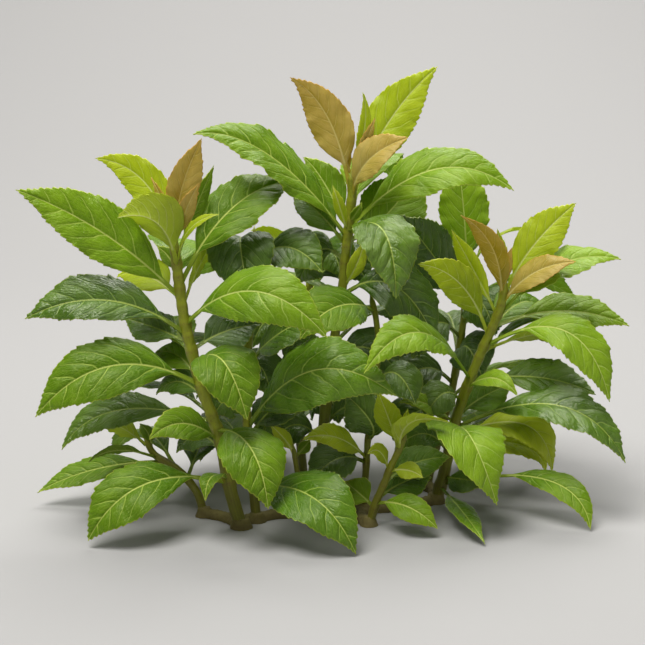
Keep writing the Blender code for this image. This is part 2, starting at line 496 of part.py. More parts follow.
def leaf_rings(leaf, stem, curve):
    """Rings of four points (upper midrib, one margin, lower midrib, other margin) and the tip."""
    points, lengths, sides, faces = midrib(at_height(curve, leaf.node_height), leaf)
    stalk_half = STALK_HALF_WIDTH + STALK_PER_WIDTH * leaf.width
    clear = np.linalg.norm(points[:, None] - curve[None], axis=2).min(axis=1)
    radius = stem_radius(stem, leaf.node_height)
    reach = radius * SUNK if leaf.fused else radius * NODE_SWELL + GAP + stalk_half
    start = lengths[np.argmax(clear >= reach)]
    blade = max(leaf.stalk, start + 1.0)
    parts = BLADE_STATIONS
    if leaf.fused:
        parts = BUD_STATIONS if leaf.width < BUD_LEAF_WIDTH else FUSED_STATIONS
    places = [start, blade] + [blade + (lengths[-1] - blade) * part for part in parts]
    rings = []
    for place in places:
        centre, side, face = (
            np.array([np.interp(place, lengths, column) for column in rows.T])
            for rows in (points, sides, faces)
        )
        part = max(0.0, (place - blade) / (lengths[-1] - blade))
        half = max(stalk_half, blade_half_width(leaf, part))
        depth = min(RIB_DEPTH + (TIP_DEPTH - RIB_DEPTH) * part, 1.6 * stalk_half) / 2
        right = centre + side * half + face * KEEL * half
        left = centre - side * half + face * KEEL * half
        rings.append([centre + face * depth, right, centre - face * depth, left])
    return rings + [[points[-1]]]


def main():
    """Builds the rootstock, then each stem with its leaves."""
    for old in list(bpy.data.objects):
        bpy.data.objects.remove(old)
    root = make_rootstock()
    for name, stem in STEMS.items():
        curve = smooth_path(stem.points)
        stalk = make_stem(name, stem, curve)
        parent_to(stalk, root)
        for number, leaf in enumerate(LEAVES[name], start=1):
            rings = leaf_rings(leaf, stem, curve)
            base = np.mean(rings[0], axis=0)
            blade = solid(f"leaf_{name}_{number:02d}", rings, leaf.tone, pointed=True, origin=base)
            if leaf.fused:
                boolean(stalk, blade, "UNION")
            else:
                parent_to(blade, stalk)


main()
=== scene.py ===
"""Hygrophila: the fine surface and the finishes of a leafy clump of stems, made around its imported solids.

The tables are in millimetres and repeat the part's own: a stem is an axis through a few points, and a leaf is
an arc from its node over the middle to the tip. Meshes are in metres, +Z up, and -Y is the side seen first.
"""

import logging
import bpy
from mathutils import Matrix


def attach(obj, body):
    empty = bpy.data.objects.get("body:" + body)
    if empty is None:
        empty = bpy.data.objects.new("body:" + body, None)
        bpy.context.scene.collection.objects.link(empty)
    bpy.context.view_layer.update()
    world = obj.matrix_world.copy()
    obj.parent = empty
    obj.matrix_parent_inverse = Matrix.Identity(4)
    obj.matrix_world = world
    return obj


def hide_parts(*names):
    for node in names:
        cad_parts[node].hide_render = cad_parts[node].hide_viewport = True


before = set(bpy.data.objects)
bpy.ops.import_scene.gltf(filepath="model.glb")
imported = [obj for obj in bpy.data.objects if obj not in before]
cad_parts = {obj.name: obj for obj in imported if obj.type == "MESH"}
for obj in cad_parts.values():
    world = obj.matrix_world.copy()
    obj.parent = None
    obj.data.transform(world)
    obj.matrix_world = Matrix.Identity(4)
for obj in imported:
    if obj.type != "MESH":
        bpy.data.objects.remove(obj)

import zlib
from dataclasses import dataclass, field, replace
from enum import Enum

import bmesh
import bpy
import numpy as np
from mathutils import Vector

MM = 0.001
BODY = "root"

Colour = tuple[float, float, float]
Point = tuple[float, float, float]
Draw = np.random.Generator
Socket = bpy.types.NodeSocket

log = logging.getLogger("hygrophila")


class Tone(Enum):
    """The ages of leaf, by the name of the finish that each takes."""

    GREEN = "mature_leaf"
    DARK = "old_leaf"
    DEEP = "low_leaf"
    FRESH = "fresh_leaf"
    LIME = "young_leaf"
    BRONZE = "tip_leaf"


GREEN, DARK, DEEP, FRESH, LIME, BRONZE = Tone


def unit(vector: np.ndarray) -> np.ndarray:
    """Gives a vector, or each row of an array of vectors, at length 1."""
    return vector / np.linalg.norm(vector, axis=-1, keepdims=True)


def smooth(value: np.ndarray, low: float, high: float) -> np.ndarray:
    """Gives 0 below low, 1 above high and a smooth step between them."""
    t = np.clip((value - low) / (high - low), 0.0, 1.0)
    return t * t * (3 - 2 * t)


def smooth_path(points: tuple[Point, ...], steps: int = 16) -> np.ndarray:
    """Draws a smooth curve through a few points.

    Args:
        points: the points that it passes.
        steps: how many steps it takes between two of them.

    Returns:
        The curve's points, one row each.
    """
    places = [np.array(point, float) for point in points]
    places = [2 * places[0] - places[1]] + places + [2 * places[-1] - places[-2]]
    t = np.linspace(0, 1, steps, endpoint=False)[:, None]
    curve = []
    for a, b, c, d in zip(places, places[1:], places[2:], places[3:]):
        square = 2 * a - 5 * b + 4 * c - d
        cube = 3 * b - 3 * c + d - a
        curve.append(b + 0.5 * ((c - a) * t + square * t**2 + cube * t**3))
    return np.vstack(curve + [places[-2]])


def run_lengths(points: np.ndarray) -> np.ndarray:
    """Gives the length of a line up to each of its points."""
    return np.concatenate(([0], np.cumsum(np.linalg.norm(np.diff(points, axis=0), axis=1))))


def read_along(places: np.ndarray, lengths: np.ndarray, rows: np.ndarray) -> np.ndarray:
    """Reads points or directions at places along a line.

    Args:
        places: lengths along the line, in an array of any shape.
        lengths: the length at each row.
        rows: a point or a direction for each row.

    Returns:
        An array of the places' shape, with three more numbers for each.
    """
    columns = [np.interp(places, lengths, column) for column in rows.T]
    return np.stack(columns, axis=-1)


@dataclass(frozen=True)
class Number:
    """A number that changes over the surface, with the nodes that it comes from."""

    graph: "Graph"
    socket: Socket

    def __add__(self, other: "Value") -> "Number":
        """Adds another number."""
        return self.graph.math("ADD", self, other)

    def __sub__(self, other: "Value") -> "Number":
        """Takes another number away."""
        return self.graph.math("SUBTRACT", self, other)

    def __mul__(self, other: "Value") -> "Number":
        """Multiplies by another number."""
        return self.graph.math("MULTIPLY", self, other)

    def __truediv__(self, other: "Value") -> "Number":
        """Divides by another number."""
        return self.graph.math("DIVIDE", self, other)

    def __abs__(self) -> "Number":
        """Gives the number without its sign."""
        return self.graph.math("ABSOLUTE", self)

    def rise(self, low: "Value", high: "Value") -> "Number":
        """Gives 0 below low, 1 above high and a smooth step between them."""
        inputs = {0: self, 1: low, 2: high}
        return self.graph.number("ShaderNodeMapRange", inputs, interpolation_type="SMOOTHSTEP")

    def fall(self, low: "Value", high: "Value") -> "Number":
        """Gives 1 below low, 0 above high and a smooth step between them."""
        inputs = {0: self, 1: low, 2: high, 3: 1.0, 4: 0.0}
        return self.graph.number("ShaderNodeMapRange", inputs, interpolation_type="SMOOTHSTEP")

    def held(self) -> "Number":
        """Holds the number between 0 and 1."""
        return self.graph.number("ShaderNodeClamp", {"Value": self})


Value = float | Colour | Socket | Number
Looks = dict[str | int, Value]


@dataclass(frozen=True)
class Graph:
    """A node tree with short ways to add nodes and join them."""

    tree: bpy.types.NodeTree

    def feed(self, socket: Socket, value: Value) -> None:
        """Joins a value to a socket, or sets the socket where the value is plain."""
        if isinstance(value, Number):
            value = value.socket
        if isinstance(value, Socket):
            self.tree.links.new(value, socket)
        elif socket.type == "RGBA":
            socket.default_value = (*value, 1.0)
        else:
            socket.default_value = value

    def add(self, kind: str, inputs: Looks, **settings: object) -> bpy.types.Node:
        """Adds a node.

        Args:
            kind: the node's type.
            inputs: what feeds its sockets, by name or number.
            settings: the node's own properties.

        Returns:
            The node.
        """
        node = self.tree.nodes.new(kind)
        for name, value in settings.items():
            setattr(node, name, value)
        for name, value in inputs.items():
            self.feed(node.inputs[name], value)
        return node

    def number(self, kind: str, inputs: Looks, **settings: object) -> Number:
        """Adds a node, as add does, and gives its first result, a number."""
        return Number(self, self.add(kind, inputs, **settings).outputs[0])

    def math(self, operation: str, *values: Value) -> Number:
        """Adds a Math node and gives its result."""
        return self.number("ShaderNodeMath", dict(enumerate(values)), operation=operation)

    def vector(self, *axes: Value) -> Socket:
        """Joins three numbers into a vector."""
        return self.add("ShaderNodeCombineXYZ", dict(enumerate(axes))).outputs[0]

    def split(self, vector: Socket) -> list[Number]:
        """Splits a vector into its three numbers."""
        return [Number(self, axis) for axis in self.add("ShaderNodeSeparateXYZ", {0: vector}).outputs]

    def read(self, attribute: str) -> list[Number]:
        """Reads one of the mesh's own vectors as three numbers."""
        return self.split(self.add("ShaderNodeAttribute", {}, attribute_name=attribute).outputs["Vector"])

    def noise(self, place: Socket, scale: Value, detail: float = 3.0, axes: str = "3D") -> Number:
        """Adds soft noise, from about 0.25 to 0.75, at a scale per millimetre of place."""
        inputs = {"Vector": place, "Scale": scale, "Detail": detail}
        return self.number("ShaderNodeTexNoise", inputs, noise_dimensions=axes)

    def cells(self, place: Socket, scale: float) -> Number:
        """Adds flat cells and gives the distance to the nearest wall between two of them."""
        settings = {"feature": "DISTANCE_TO_EDGE", "voronoi_dimensions": "2D"}
        return self.number("ShaderNodeTexVoronoi", {"Vector": place, "Scale": scale}, **settings)

    def paint(self, colour: Value, *layers: tuple[Value, Value]) -> Value:
        """Lays colours over a first one.

        Args:
            colour: the first one.
            layers: for each of the others its share, from 0 to 1, and the colour.

        Returns:
            What shows in the end.
        """
        for share, over in layers:
            inputs = {0: share, 6: colour, 7: over}
            colour = self.add("ShaderNodeMix", inputs, data_type="RGBA").outputs[2]
        return colour

    def surface(self, strength: float, height: Number, looks: Looks) -> tuple[Socket, Socket]:
        """Adds a surface with relief.

        Args:
            strength: of the relief.
            height: of the relief, in mm.
            looks: what feeds the Principled BSDF.

        Returns:
            The shader and its normal.
        """
        relief = {"Strength": strength, "Distance": MM, "Height": height}
        normal = self.add("ShaderNodeBump", relief).outputs[0]
        return self.add("ShaderNodeBsdfPrincipled", {**looks, "Normal": normal}).outputs[0], normal


def new_material(name: str) -> tuple[bpy.types.Material, Graph, Socket]:
    """Makes a material and gives it with its empty nodes and the socket that its surface goes to."""
    material = bpy.data.materials.new(name)
    material.use_nodes = True
    material.node_tree.nodes.clear()
    graph = Graph(material.node_tree)
    return material, graph, graph.add("ShaderNodeOutputMaterial", {}).inputs["Surface"]


class Effect:
    """A shader effect that several materials share: a node group with named inputs and outputs."""

    name: str
    inputs: dict[str, float]
    outputs: tuple[str, ...]

    def __init__(self) -> None:
        """Builds the node group."""
        self.tree = bpy.data.node_groups.new(self.name, "ShaderNodeTree")
        add_socket = self.tree.interface.new_socket
        for name, value in self.inputs.items():
            add_socket(name=name, in_out="INPUT", socket_type="NodeSocketFloat").default_value = value
        for name in self.outputs:
            add_socket(name=name, in_out="OUTPUT", socket_type="NodeSocketFloat")
        graph = Graph(self.tree)
        entry = graph.add("NodeGroupInput", {})
        given = {name: Number(graph, entry.outputs[name]) for name in self.inputs}
        graph.add("NodeGroupOutput", self.wire(graph, given))

    def wire(self, graph: Graph, given: dict[str, Number]) -> dict[str, Number]:
        """Makes the nodes of the effect.

        Args:
            graph: the group's own nodes.
            given: the group's inputs, by name.

        Returns:
            What feeds each output, by name.
        """
        raise NotImplementedError

    def place(self, graph: Graph, **values: float) -> dict[str, Number]:
        """Puts the effect into a material.

        Args:
            graph: the material's nodes.
            values: what its inputs are there, with _ for a space.

        Returns:
            Its outputs, by name.
        """
        inputs = {name.replace("_", " "): value for name, value in values.items()}
        node = graph.add("ShaderNodeGroup", inputs, node_tree=self.tree)
        return {name: Number(graph, node.outputs[name]) for name in self.outputs}


class LeafPattern(Effect):
    """Where the midrib, the side veins, the fine net and the margin of a leaf lie, their relief in mm, and the
    painted shade in the low bands beside the side veins.
    """

    name = "leaf pattern"
    inputs = {"Vein Width": 1.0}
    outputs = ("Midrib", "Veins", "Net", "Margin", "Stalk", "Part", "Tint", "Mottle", "Valley_Shade", "Relief")

    APART = 400.0
    SIDE_SHIFT = 0.45
    WANDER_SCALE = 0.16
    WANDER = 0.30
    VEIN_WIDTH = 0.058
    NET_ALONG = 3.4
    NET_ACROSS = 0.55
    FINE_NET = 2.6
    FINE_NET_SHOWN = 0.70
    RIB_AT_BASE = 0.50
    RIB_TAPER = 0.34
    MOTTLE_SCALE = 0.09
    GRAIN_SCALE = 2.2
    PILLOW = 0.095
    FINE_PILLOW = 0.055
    GRAIN = 0.070
    GROOVE = 0.15
    RIDGE = 0.10

    def wire(self, graph: Graph, given: dict[str, Number]) -> dict[str, Number]:
        """Makes the nodes: see Effect.wire."""
        along, across, edge = graph.read("blade")
        phase, part, tone_and_light = graph.read("veins")
        away = abs(across)
        reach = away / (away + edge + 0.01)
        apart = tone_and_light * self.APART
        place = graph.vector(along + apart, across, 0.0)
        wander = graph.noise(place, self.WANDER_SCALE, 1.0, "2D") * self.WANDER - self.WANDER / 2
        turn = phase + graph.math("GREATER_THAN", across, 0.0) * self.SIDE_SHIFT + wander
        gap = abs(graph.math("FRACT", turn + 0.5) - 0.5)
        width = given["Vein Width"] * (reach * -0.55 + 1.0) * self.VEIN_WIDTH
        inner = phase.rise(0.1, 0.4) * part.fall(0.90, 0.98) * reach.fall(0.72, 0.96)
        net_place = graph.vector(turn * self.NET_ALONG + apart, across * self.NET_ACROSS, 0.0)
        walls = graph.cells(net_place, 1.0)
        fine_walls = graph.cells(net_place, self.FINE_NET)
        fine_net = fine_walls.fall(0.010, 0.160) * self.FINE_NET_SHOWN
        net = graph.math("MAXIMUM", walls.fall(0.010, 0.075), fine_net)
        rib = part * -self.RIB_TAPER + self.RIB_AT_BASE
        midrib = away.fall(rib * 0.60, rib)
        pillows = walls.rise(0.0, 0.30) * self.PILLOW + fine_walls.rise(0.0, 0.32) * self.FINE_PILLOW
        grain = graph.noise(place, self.GRAIN_SCALE, 3.0, "2D") * self.GRAIN
        groove = gap.fall(0.0, 0.16) * inner
        return {
            "Midrib": midrib,
            "Veins": gap.fall(width * 0.30, width) * inner,
            "Net": net * reach.fall(0.88, 0.99),
            "Margin": edge.fall(0.12, 0.42),
            "Stalk": part.fall(-0.02, 0.03),
            "Part": part,
            "Tint": tone_and_light,
            "Mottle": graph.noise(place, self.MOTTLE_SCALE, 4.0, "2D"),
            # painted shade: the low bands beside the side veins, which darken the upper side's colour
            "Valley_Shade": gap.fall(0.03, 0.30) * inner,
            "Relief": pillows - groove * self.GROOVE + grain + midrib * self.RIDGE,
        }


class BarkPattern(Effect):
    """Streaks, ridges and worn patches of a stem or a rootstock, and their relief in mm."""

    name = "bark pattern"
    inputs = {"Length": 0.10, "Fineness": 1.4}
    outputs = ("Streak", "Patch", "Fleck", "Relief")

    def wire(self, graph: Graph, given: dict[str, Number]) -> dict[str, Number]:
        """Makes the nodes: see Effect.wire."""
        place = graph.add("ShaderNodeNewGeometry", {}).outputs["Position"]
        x, y, z = (axis * (1 / MM) for axis in graph.split(place))
        plain = graph.vector(x, y, z)
        streak = graph.noise(graph.vector(x, y, z * given["Length"]), given["Fineness"], 4.0)
        return {
            "Streak": streak,
            "Patch": graph.noise(plain, 0.16),
            "Fleck": graph.noise(plain, 1.1, 2.0).rise(0.60, 0.68),
            "Relief": streak * 0.16 + graph.noise(plain, 3.0, 2.0) * 0.03,
        }


@dataclass(frozen=True)
class LeafFinish:
    """The finish of one age of leaf.

    Attributes:
        deep: the darkest colour of the upper side.
        light: its lightest colour.
        flush: the colour that the tip and the margins turn to.
        flushed: how strongly they do.
        vein: the colour of the side veins.
        veined: how strongly they show.
        midrib: the colour of the midrib.
        margin: the colour of the thin edge.
        under: the colour of the underside.
        glow: the colour of the light that comes through.
        glowing: the share of light that comes through.
        roughness: of the upper side.
        quilting: how far the blade rises between two side veins, in mm.
        thickness: of the blade, in mm.
        shine: how strongly the wax reflects.
        sheen: the colour of its reflections.
    """

    deep: Colour
    light: Colour
    flush: Colour
    flushed: float
    vein: Colour
    veined: float
    midrib: Colour
    margin: Colour
    under: Colour
    glow: Colour
    glowing: float
    roughness: float
    quilting: float
    thickness: float
    shine: float = 0.40
    sheen: Colour = (1.0, 1.0, 0.50)

    @property
    def stalk(self) -> Colour:
        """The colour of the stalk, between those of the midrib and the blade."""
        red, green, blue = (0.40 * pale + 0.60 * dark for pale, dark in zip(self.midrib, self.deep))
        return red, green, blue * 0.5

    def upper(self, name: str, pattern: LeafPattern) -> bpy.types.Material:
        """Makes the material of the upper side: waxy, with sunken pale veins and painted shade in the low
        bands beside them.
        """
        material, graph, out = new_material(f"{name}_upper")
        marks = pattern.place(graph, Vein_Width=1.0)
        # the mix from the deep colour to the light one: random mottle; the leaf's lightness from Tint, which
        # is partly its own tone and partly painted light and shade; and painted shade in the low bands beside
        # the side veins
        shade = marks["Mottle"] * 1.5 - 0.30 + marks["Tint"] * 0.42 - marks["Valley_Shade"] * 0.28
        colour = graph.paint(
            self.deep,
            (shade.held(), self.light),
            (marks["Part"].rise(0.15, 1.0) * self.flushed, self.flush),
            (marks["Net"] * (0.30 * self.veined), self.vein),
            (marks["Veins"] * (0.95 * self.veined), self.vein),
            (marks["Midrib"] * 0.92, self.midrib),
            (marks["Margin"] * 0.85, self.margin),
            (marks["Stalk"], self.stalk),
        )
        self.finish(graph, out, min(1.0, 1.6 * self.quilting), marks["Relief"], {
            "Base Color": colour,
            "Roughness": marks["Mottle"] * 0.50 + (self.roughness - 0.27) + marks["Veins"] * 0.10,
            "Specular IOR Level": self.shine,
            "Specular Tint": self.sheen,
            "Coat Weight": 0.05,
            "Coat Roughness": 0.26,
        })
        return material

    def lower(self, name: str, pattern: LeafPattern) -> bpy.types.Material:
        """Makes the material of the underside: matt and paler, with raised veins."""
        material, graph, out = new_material(f"{name}_under")
        marks = pattern.place(graph, Vein_Width=1.5)
        colour = graph.paint(
            self.under,
            ((marks["Mottle"] * 1.2 - 0.35).held() * 0.5, self.light),
            (marks["Part"].rise(0.15, 1.0) * (0.7 * self.flushed), self.flush),
            ((marks["Veins"] * 0.55 + marks["Net"] * 0.12).held(), self.midrib),
            (marks["Midrib"], self.midrib),
            (marks["Stalk"], self.stalk),
        )
        self.finish(graph, out, 0.9, marks["Relief"] * -1.3, {
            "Base Color": colour, "Roughness": self.roughness + 0.2, "Specular IOR Level": 0.35,
        })
        return material

    def finish(self, graph: Graph, out: Socket, strength: float, height: Number, looks: Looks) -> None:
        """Makes the surface, and mixes in the light that comes through the blade.

        Args:
            graph: the material's nodes.
            out: where the surface goes.
            strength: of its relief.
            height: of its relief, in mm.
            looks: what feeds the Principled BSDF.
        """
        shader, normal = graph.surface(strength, height, looks)
        through = graph.add("ShaderNodeBsdfTranslucent", {"Color": self.glow, "Normal": normal}).outputs[0]
        mixed = graph.add("ShaderNodeMixShader", {0: self.glowing, 1: shader, 2: through})
        graph.feed(out, mixed.outputs[0])


@dataclass(frozen=True)
class BarkFinish:
    """The finish of the stems or of the rootstock.

    Attributes:
        young: the colour high up, or of fresh skin.
        old: the colour low down, or of worn skin.
        scar: the colour of the nodes and scars.
        roughness: of the skin.
        browned: the height in mm below which the skin is old.
    """

    young: Colour
    old: Colour
    scar: Colour
    roughness: float
    browned: float

    def material(self, name: str, pattern: BarkPattern) -> bpy.types.Material:
        """Makes the material, which reads the height and the nearness of a node from the mesh."""
        material, graph, out = new_material(name)
        marks = pattern.place(graph)
        height, near_node, ridge = graph.read("skin")
        age = height.fall(0.0, self.browned) + (marks["Patch"] * 1.4 - 0.7)
        colour = graph.paint(
            self.young,
            (age.held(), self.old),
            (marks["Streak"] * 0.55, self.old),
            (ridge * 0.35, self.young),
            ((marks["Fleck"] * 0.35 + near_node).held(), self.scar),
        )
        shader, _ = graph.surface(0.9, marks["Relief"], {
            "Base Color": colour, "Roughness": marks["Streak"] * 0.25 + (self.roughness - 0.12),
            "Specular IOR Level": 0.4,
        })
        graph.feed(out, shader)
        return material


LEAF_FINISHES = {
    GREEN: LeafFinish(
        deep=(0.055, 0.150, 0.001), light=(0.210, 0.370, 0.008), flush=(0.200, 0.325, 0.003), flushed=0.30,
        vein=(0.440, 0.560, 0.090), veined=0.85, midrib=(0.600, 0.680, 0.160), margin=(0.540, 0.620, 0.070),
        under=(0.220, 0.330, 0.030), glow=(0.420, 0.640, 0.001), glowing=0.28,
        roughness=0.38, quilting=0.55, thickness=0.28,
    ),
    DARK: LeafFinish(
        deep=(0.022, 0.078, 0.001), light=(0.120, 0.230, 0.008), flush=(0.080, 0.170, 0.002), flushed=0.3,
        vein=(0.280, 0.410, 0.060), veined=0.85, midrib=(0.480, 0.590, 0.110), margin=(0.400, 0.510, 0.050),
        under=(0.140, 0.240, 0.022), glow=(0.270, 0.490, 0.001), glowing=0.22,
        roughness=0.33, quilting=0.80, thickness=0.30, shine=0.80, sheen=(1.0, 1.0, 0.85),
    ),
    DEEP: LeafFinish(
        deep=(0.045, 0.135, 0.001), light=(0.145, 0.290, 0.006), flush=(0.150, 0.275, 0.002), flushed=0.3,
        vein=(0.350, 0.490, 0.070), veined=0.90, midrib=(0.520, 0.620, 0.120), margin=(0.470, 0.570, 0.060),
        under=(0.170, 0.280, 0.025), glow=(0.340, 0.570, 0.001), glowing=0.26,
        roughness=0.35, quilting=0.65, thickness=0.28, shine=0.55, sheen=(1.0, 1.0, 0.70),
    ),
    FRESH: LeafFinish(
        deep=(0.100, 0.225, 0.002), light=(0.260, 0.420, 0.014), flush=(0.250, 0.390, 0.006), flushed=0.3,
        vein=(0.480, 0.600, 0.120), veined=0.85, midrib=(0.620, 0.700, 0.190), margin=(0.570, 0.660, 0.090),
        under=(0.270, 0.400, 0.040), glow=(0.500, 0.720, 0.002), glowing=0.32,
        roughness=0.38, quilting=0.46, thickness=0.24,
    ),
    LIME: LeafFinish(
        deep=(0.270, 0.365, 0.001), light=(0.560, 0.660, 0.030), flush=(0.470, 0.540, 0.004), flushed=0.40,
        vein=(0.640, 0.700, 0.170), veined=0.75, midrib=(0.760, 0.790, 0.320), margin=(0.640, 0.670, 0.080),
        under=(0.480, 0.580, 0.060), glow=(0.740, 0.850, 0.002), glowing=0.40,
        roughness=0.42, quilting=0.32, thickness=0.20,
    ),
    BRONZE: LeafFinish(
        deep=(0.330, 0.275, 0.004), light=(0.660, 0.520, 0.140), flush=(0.560, 0.370, 0.075), flushed=0.45,
        vein=(0.700, 0.600, 0.200), veined=0.90, midrib=(0.800, 0.720, 0.270), margin=(0.680, 0.390, 0.080),
        under=(0.520, 0.410, 0.070), glow=(0.780, 0.620, 0.030), glowing=0.34,
        roughness=0.40, quilting=0.28, thickness=0.20, shine=0.50, sheen=(1.0, 0.95, 0.75),
    ),
}
STEM_FINISH = BarkFinish(
    young=(0.250, 0.290, 0.010), old=(0.130, 0.118, 0.008), scar=(0.130, 0.062, 0.016),
    roughness=0.46, browned=55.0,
)
ROOT_FINISH = BarkFinish(
    young=(0.230, 0.200, 0.060), old=(0.130, 0.105, 0.030), scar=(0.080, 0.055, 0.020),
    roughness=0.80, browned=6.0,
)


def put(name: str, data: bpy.types.ID) -> bpy.types.Object:
    """Makes an object of a mesh, a light or a camera, puts it into the scene and gives it."""
    made = bpy.data.objects.new(name, data)
    bpy.context.scene.collection.objects.link(made)
    return made


def skin(
    name: str, rings: np.ndarray, tip: np.ndarray, marks: dict[str, np.ndarray], under_from: int | None = None,
) -> bpy.types.Object:
    """Skins rings of points into one closed mesh, with a cap over the first and a point past the last.

    Args:
        name: the object's name.
        rings: the points in mm, by ring, place in the ring and axis.
        tip: the point that closes the far end.
        marks: vectors for the shaders, one for each point, by the name that they go by.
        under_from: the place in a ring from which its faces take the second material.

    Returns:
        The object.
    """
    count, around = rings.shape[:2]
    points = np.vstack((rings.reshape(-1, 3), rings[0].mean(axis=0), tip)) * MM
    index = np.arange(count * around).reshape(count, around)
    following = np.roll(index, -1, axis=1)
    quads = np.stack((index[:-1], following[:-1], following[1:], index[1:]), axis=-1).reshape(-1, 4)
    cap = np.stack((following[0], index[0], np.full(around, count * around)), axis=-1)
    end = np.stack((index[-1], following[-1], np.full(around, count * around + 1)), axis=-1)
    triangles = np.vstack((cap, end))
    a, b, c, d = (points[quads[:, i]] for i in range(4))
    if np.sum(a * np.cross(b, c)) + np.sum(a * np.cross(c, d)) < 0:
        quads, triangles = quads[:, ::-1], triangles[:, ::-1]
    corners = np.concatenate((quads.ravel(), triangles.ravel()))
    starts = np.concatenate((np.arange(len(quads)) * 4, len(quads) * 4 + np.arange(len(triangles)) * 3))
    mesh = bpy.data.meshes.new(name)
    mesh.vertices.add(len(points))
    mesh.vertices.foreach_set("co", points.ravel())
    mesh.loops.add(len(corners))
    mesh.loops.foreach_set("vertex_index", corners.astype(np.int32))
    mesh.polygons.add(len(starts))
    mesh.polygons.foreach_set("loop_start", starts.astype(np.int32))
    if under_from is not None:
        place = np.arange(around) >= under_from
        under = np.concatenate((np.tile(place, count - 1), place, place))
        mesh.polygons.foreach_set("material_index", under.astype(np.int32))
    mesh.update(calc_edges=True)
    for mark, values in marks.items():
        ends = (values[0].mean(axis=0), values[-1].mean(axis=0))
        layer = mesh.attributes.new(mark, "FLOAT_VECTOR", "POINT")
        layer.data.foreach_set("vector", np.vstack((values.reshape(-1, 3), *ends)).astype(np.float32).ravel())
    mesh.shade_smooth()
    return put(name, mesh)


@dataclass(frozen=True)
class Habit:
    """How one leaf differs from the rule.

    Attributes:
        fold: how steeply the two halves rise from the midrib.
        curl: how far they bend down again towards the margin.
        wave: how strongly the margin waves, against the usual.
        twist: the turn from base to tip, in degrees.
        lean: how much wider the left half is than the right one, as a share.
        tone_and_light: how light its finish is, from -1 to 1, or nothing where it is left to chance; partly
            the leaf's own tone and partly painted light and shade, raised on leaves that lie in shade or shine
            and lowered on leaves that the lamps light strongly.
    """

    fold: float = 0.28
    curl: float = 0.26
    wave: float = 1.0
    twist: float = 0.0
    lean: float = 0.0
    tone_and_light: float | None = None


@dataclass(frozen=True)
class Axis:
    """The axis of a stem and its radius up it, in mm."""

    curve: np.ndarray
    foot_radius: float
    tip_radius: float

    def at(self, height: float) -> np.ndarray:
        """Gives the point of the axis at a height."""
        return np.array([np.interp(height, self.curve[:, 2], self.curve[:, i]) for i in range(3)])

    def radius(self, height: np.ndarray | float) -> np.ndarray | float:
        """Gives the stem's radius between two nodes, at a height."""
        return np.interp(height, (0, self.curve[-1, 2]), (self.foot_radius, self.tip_radius))


@dataclass
class Grid:
    """The points of a leaf's mesh while it is still flat, in rows across it.

    Attributes:
        along: the length from the base of the blade.
        part: the same as a part of the blade's length.
        across: the distance from the midrib, over 0 on the left half.
        share: the share of the way from the midrib to the margin.
        half: the half width.
        rib: half the midrib's width, by row.
        phase: the count of the side veins: a whole number lies on one.
    """

    along: np.ndarray
    part: np.ndarray
    across: np.ndarray
    share: np.ndarray
    half: np.ndarray
    rib: np.ndarray
    phase: np.ndarray


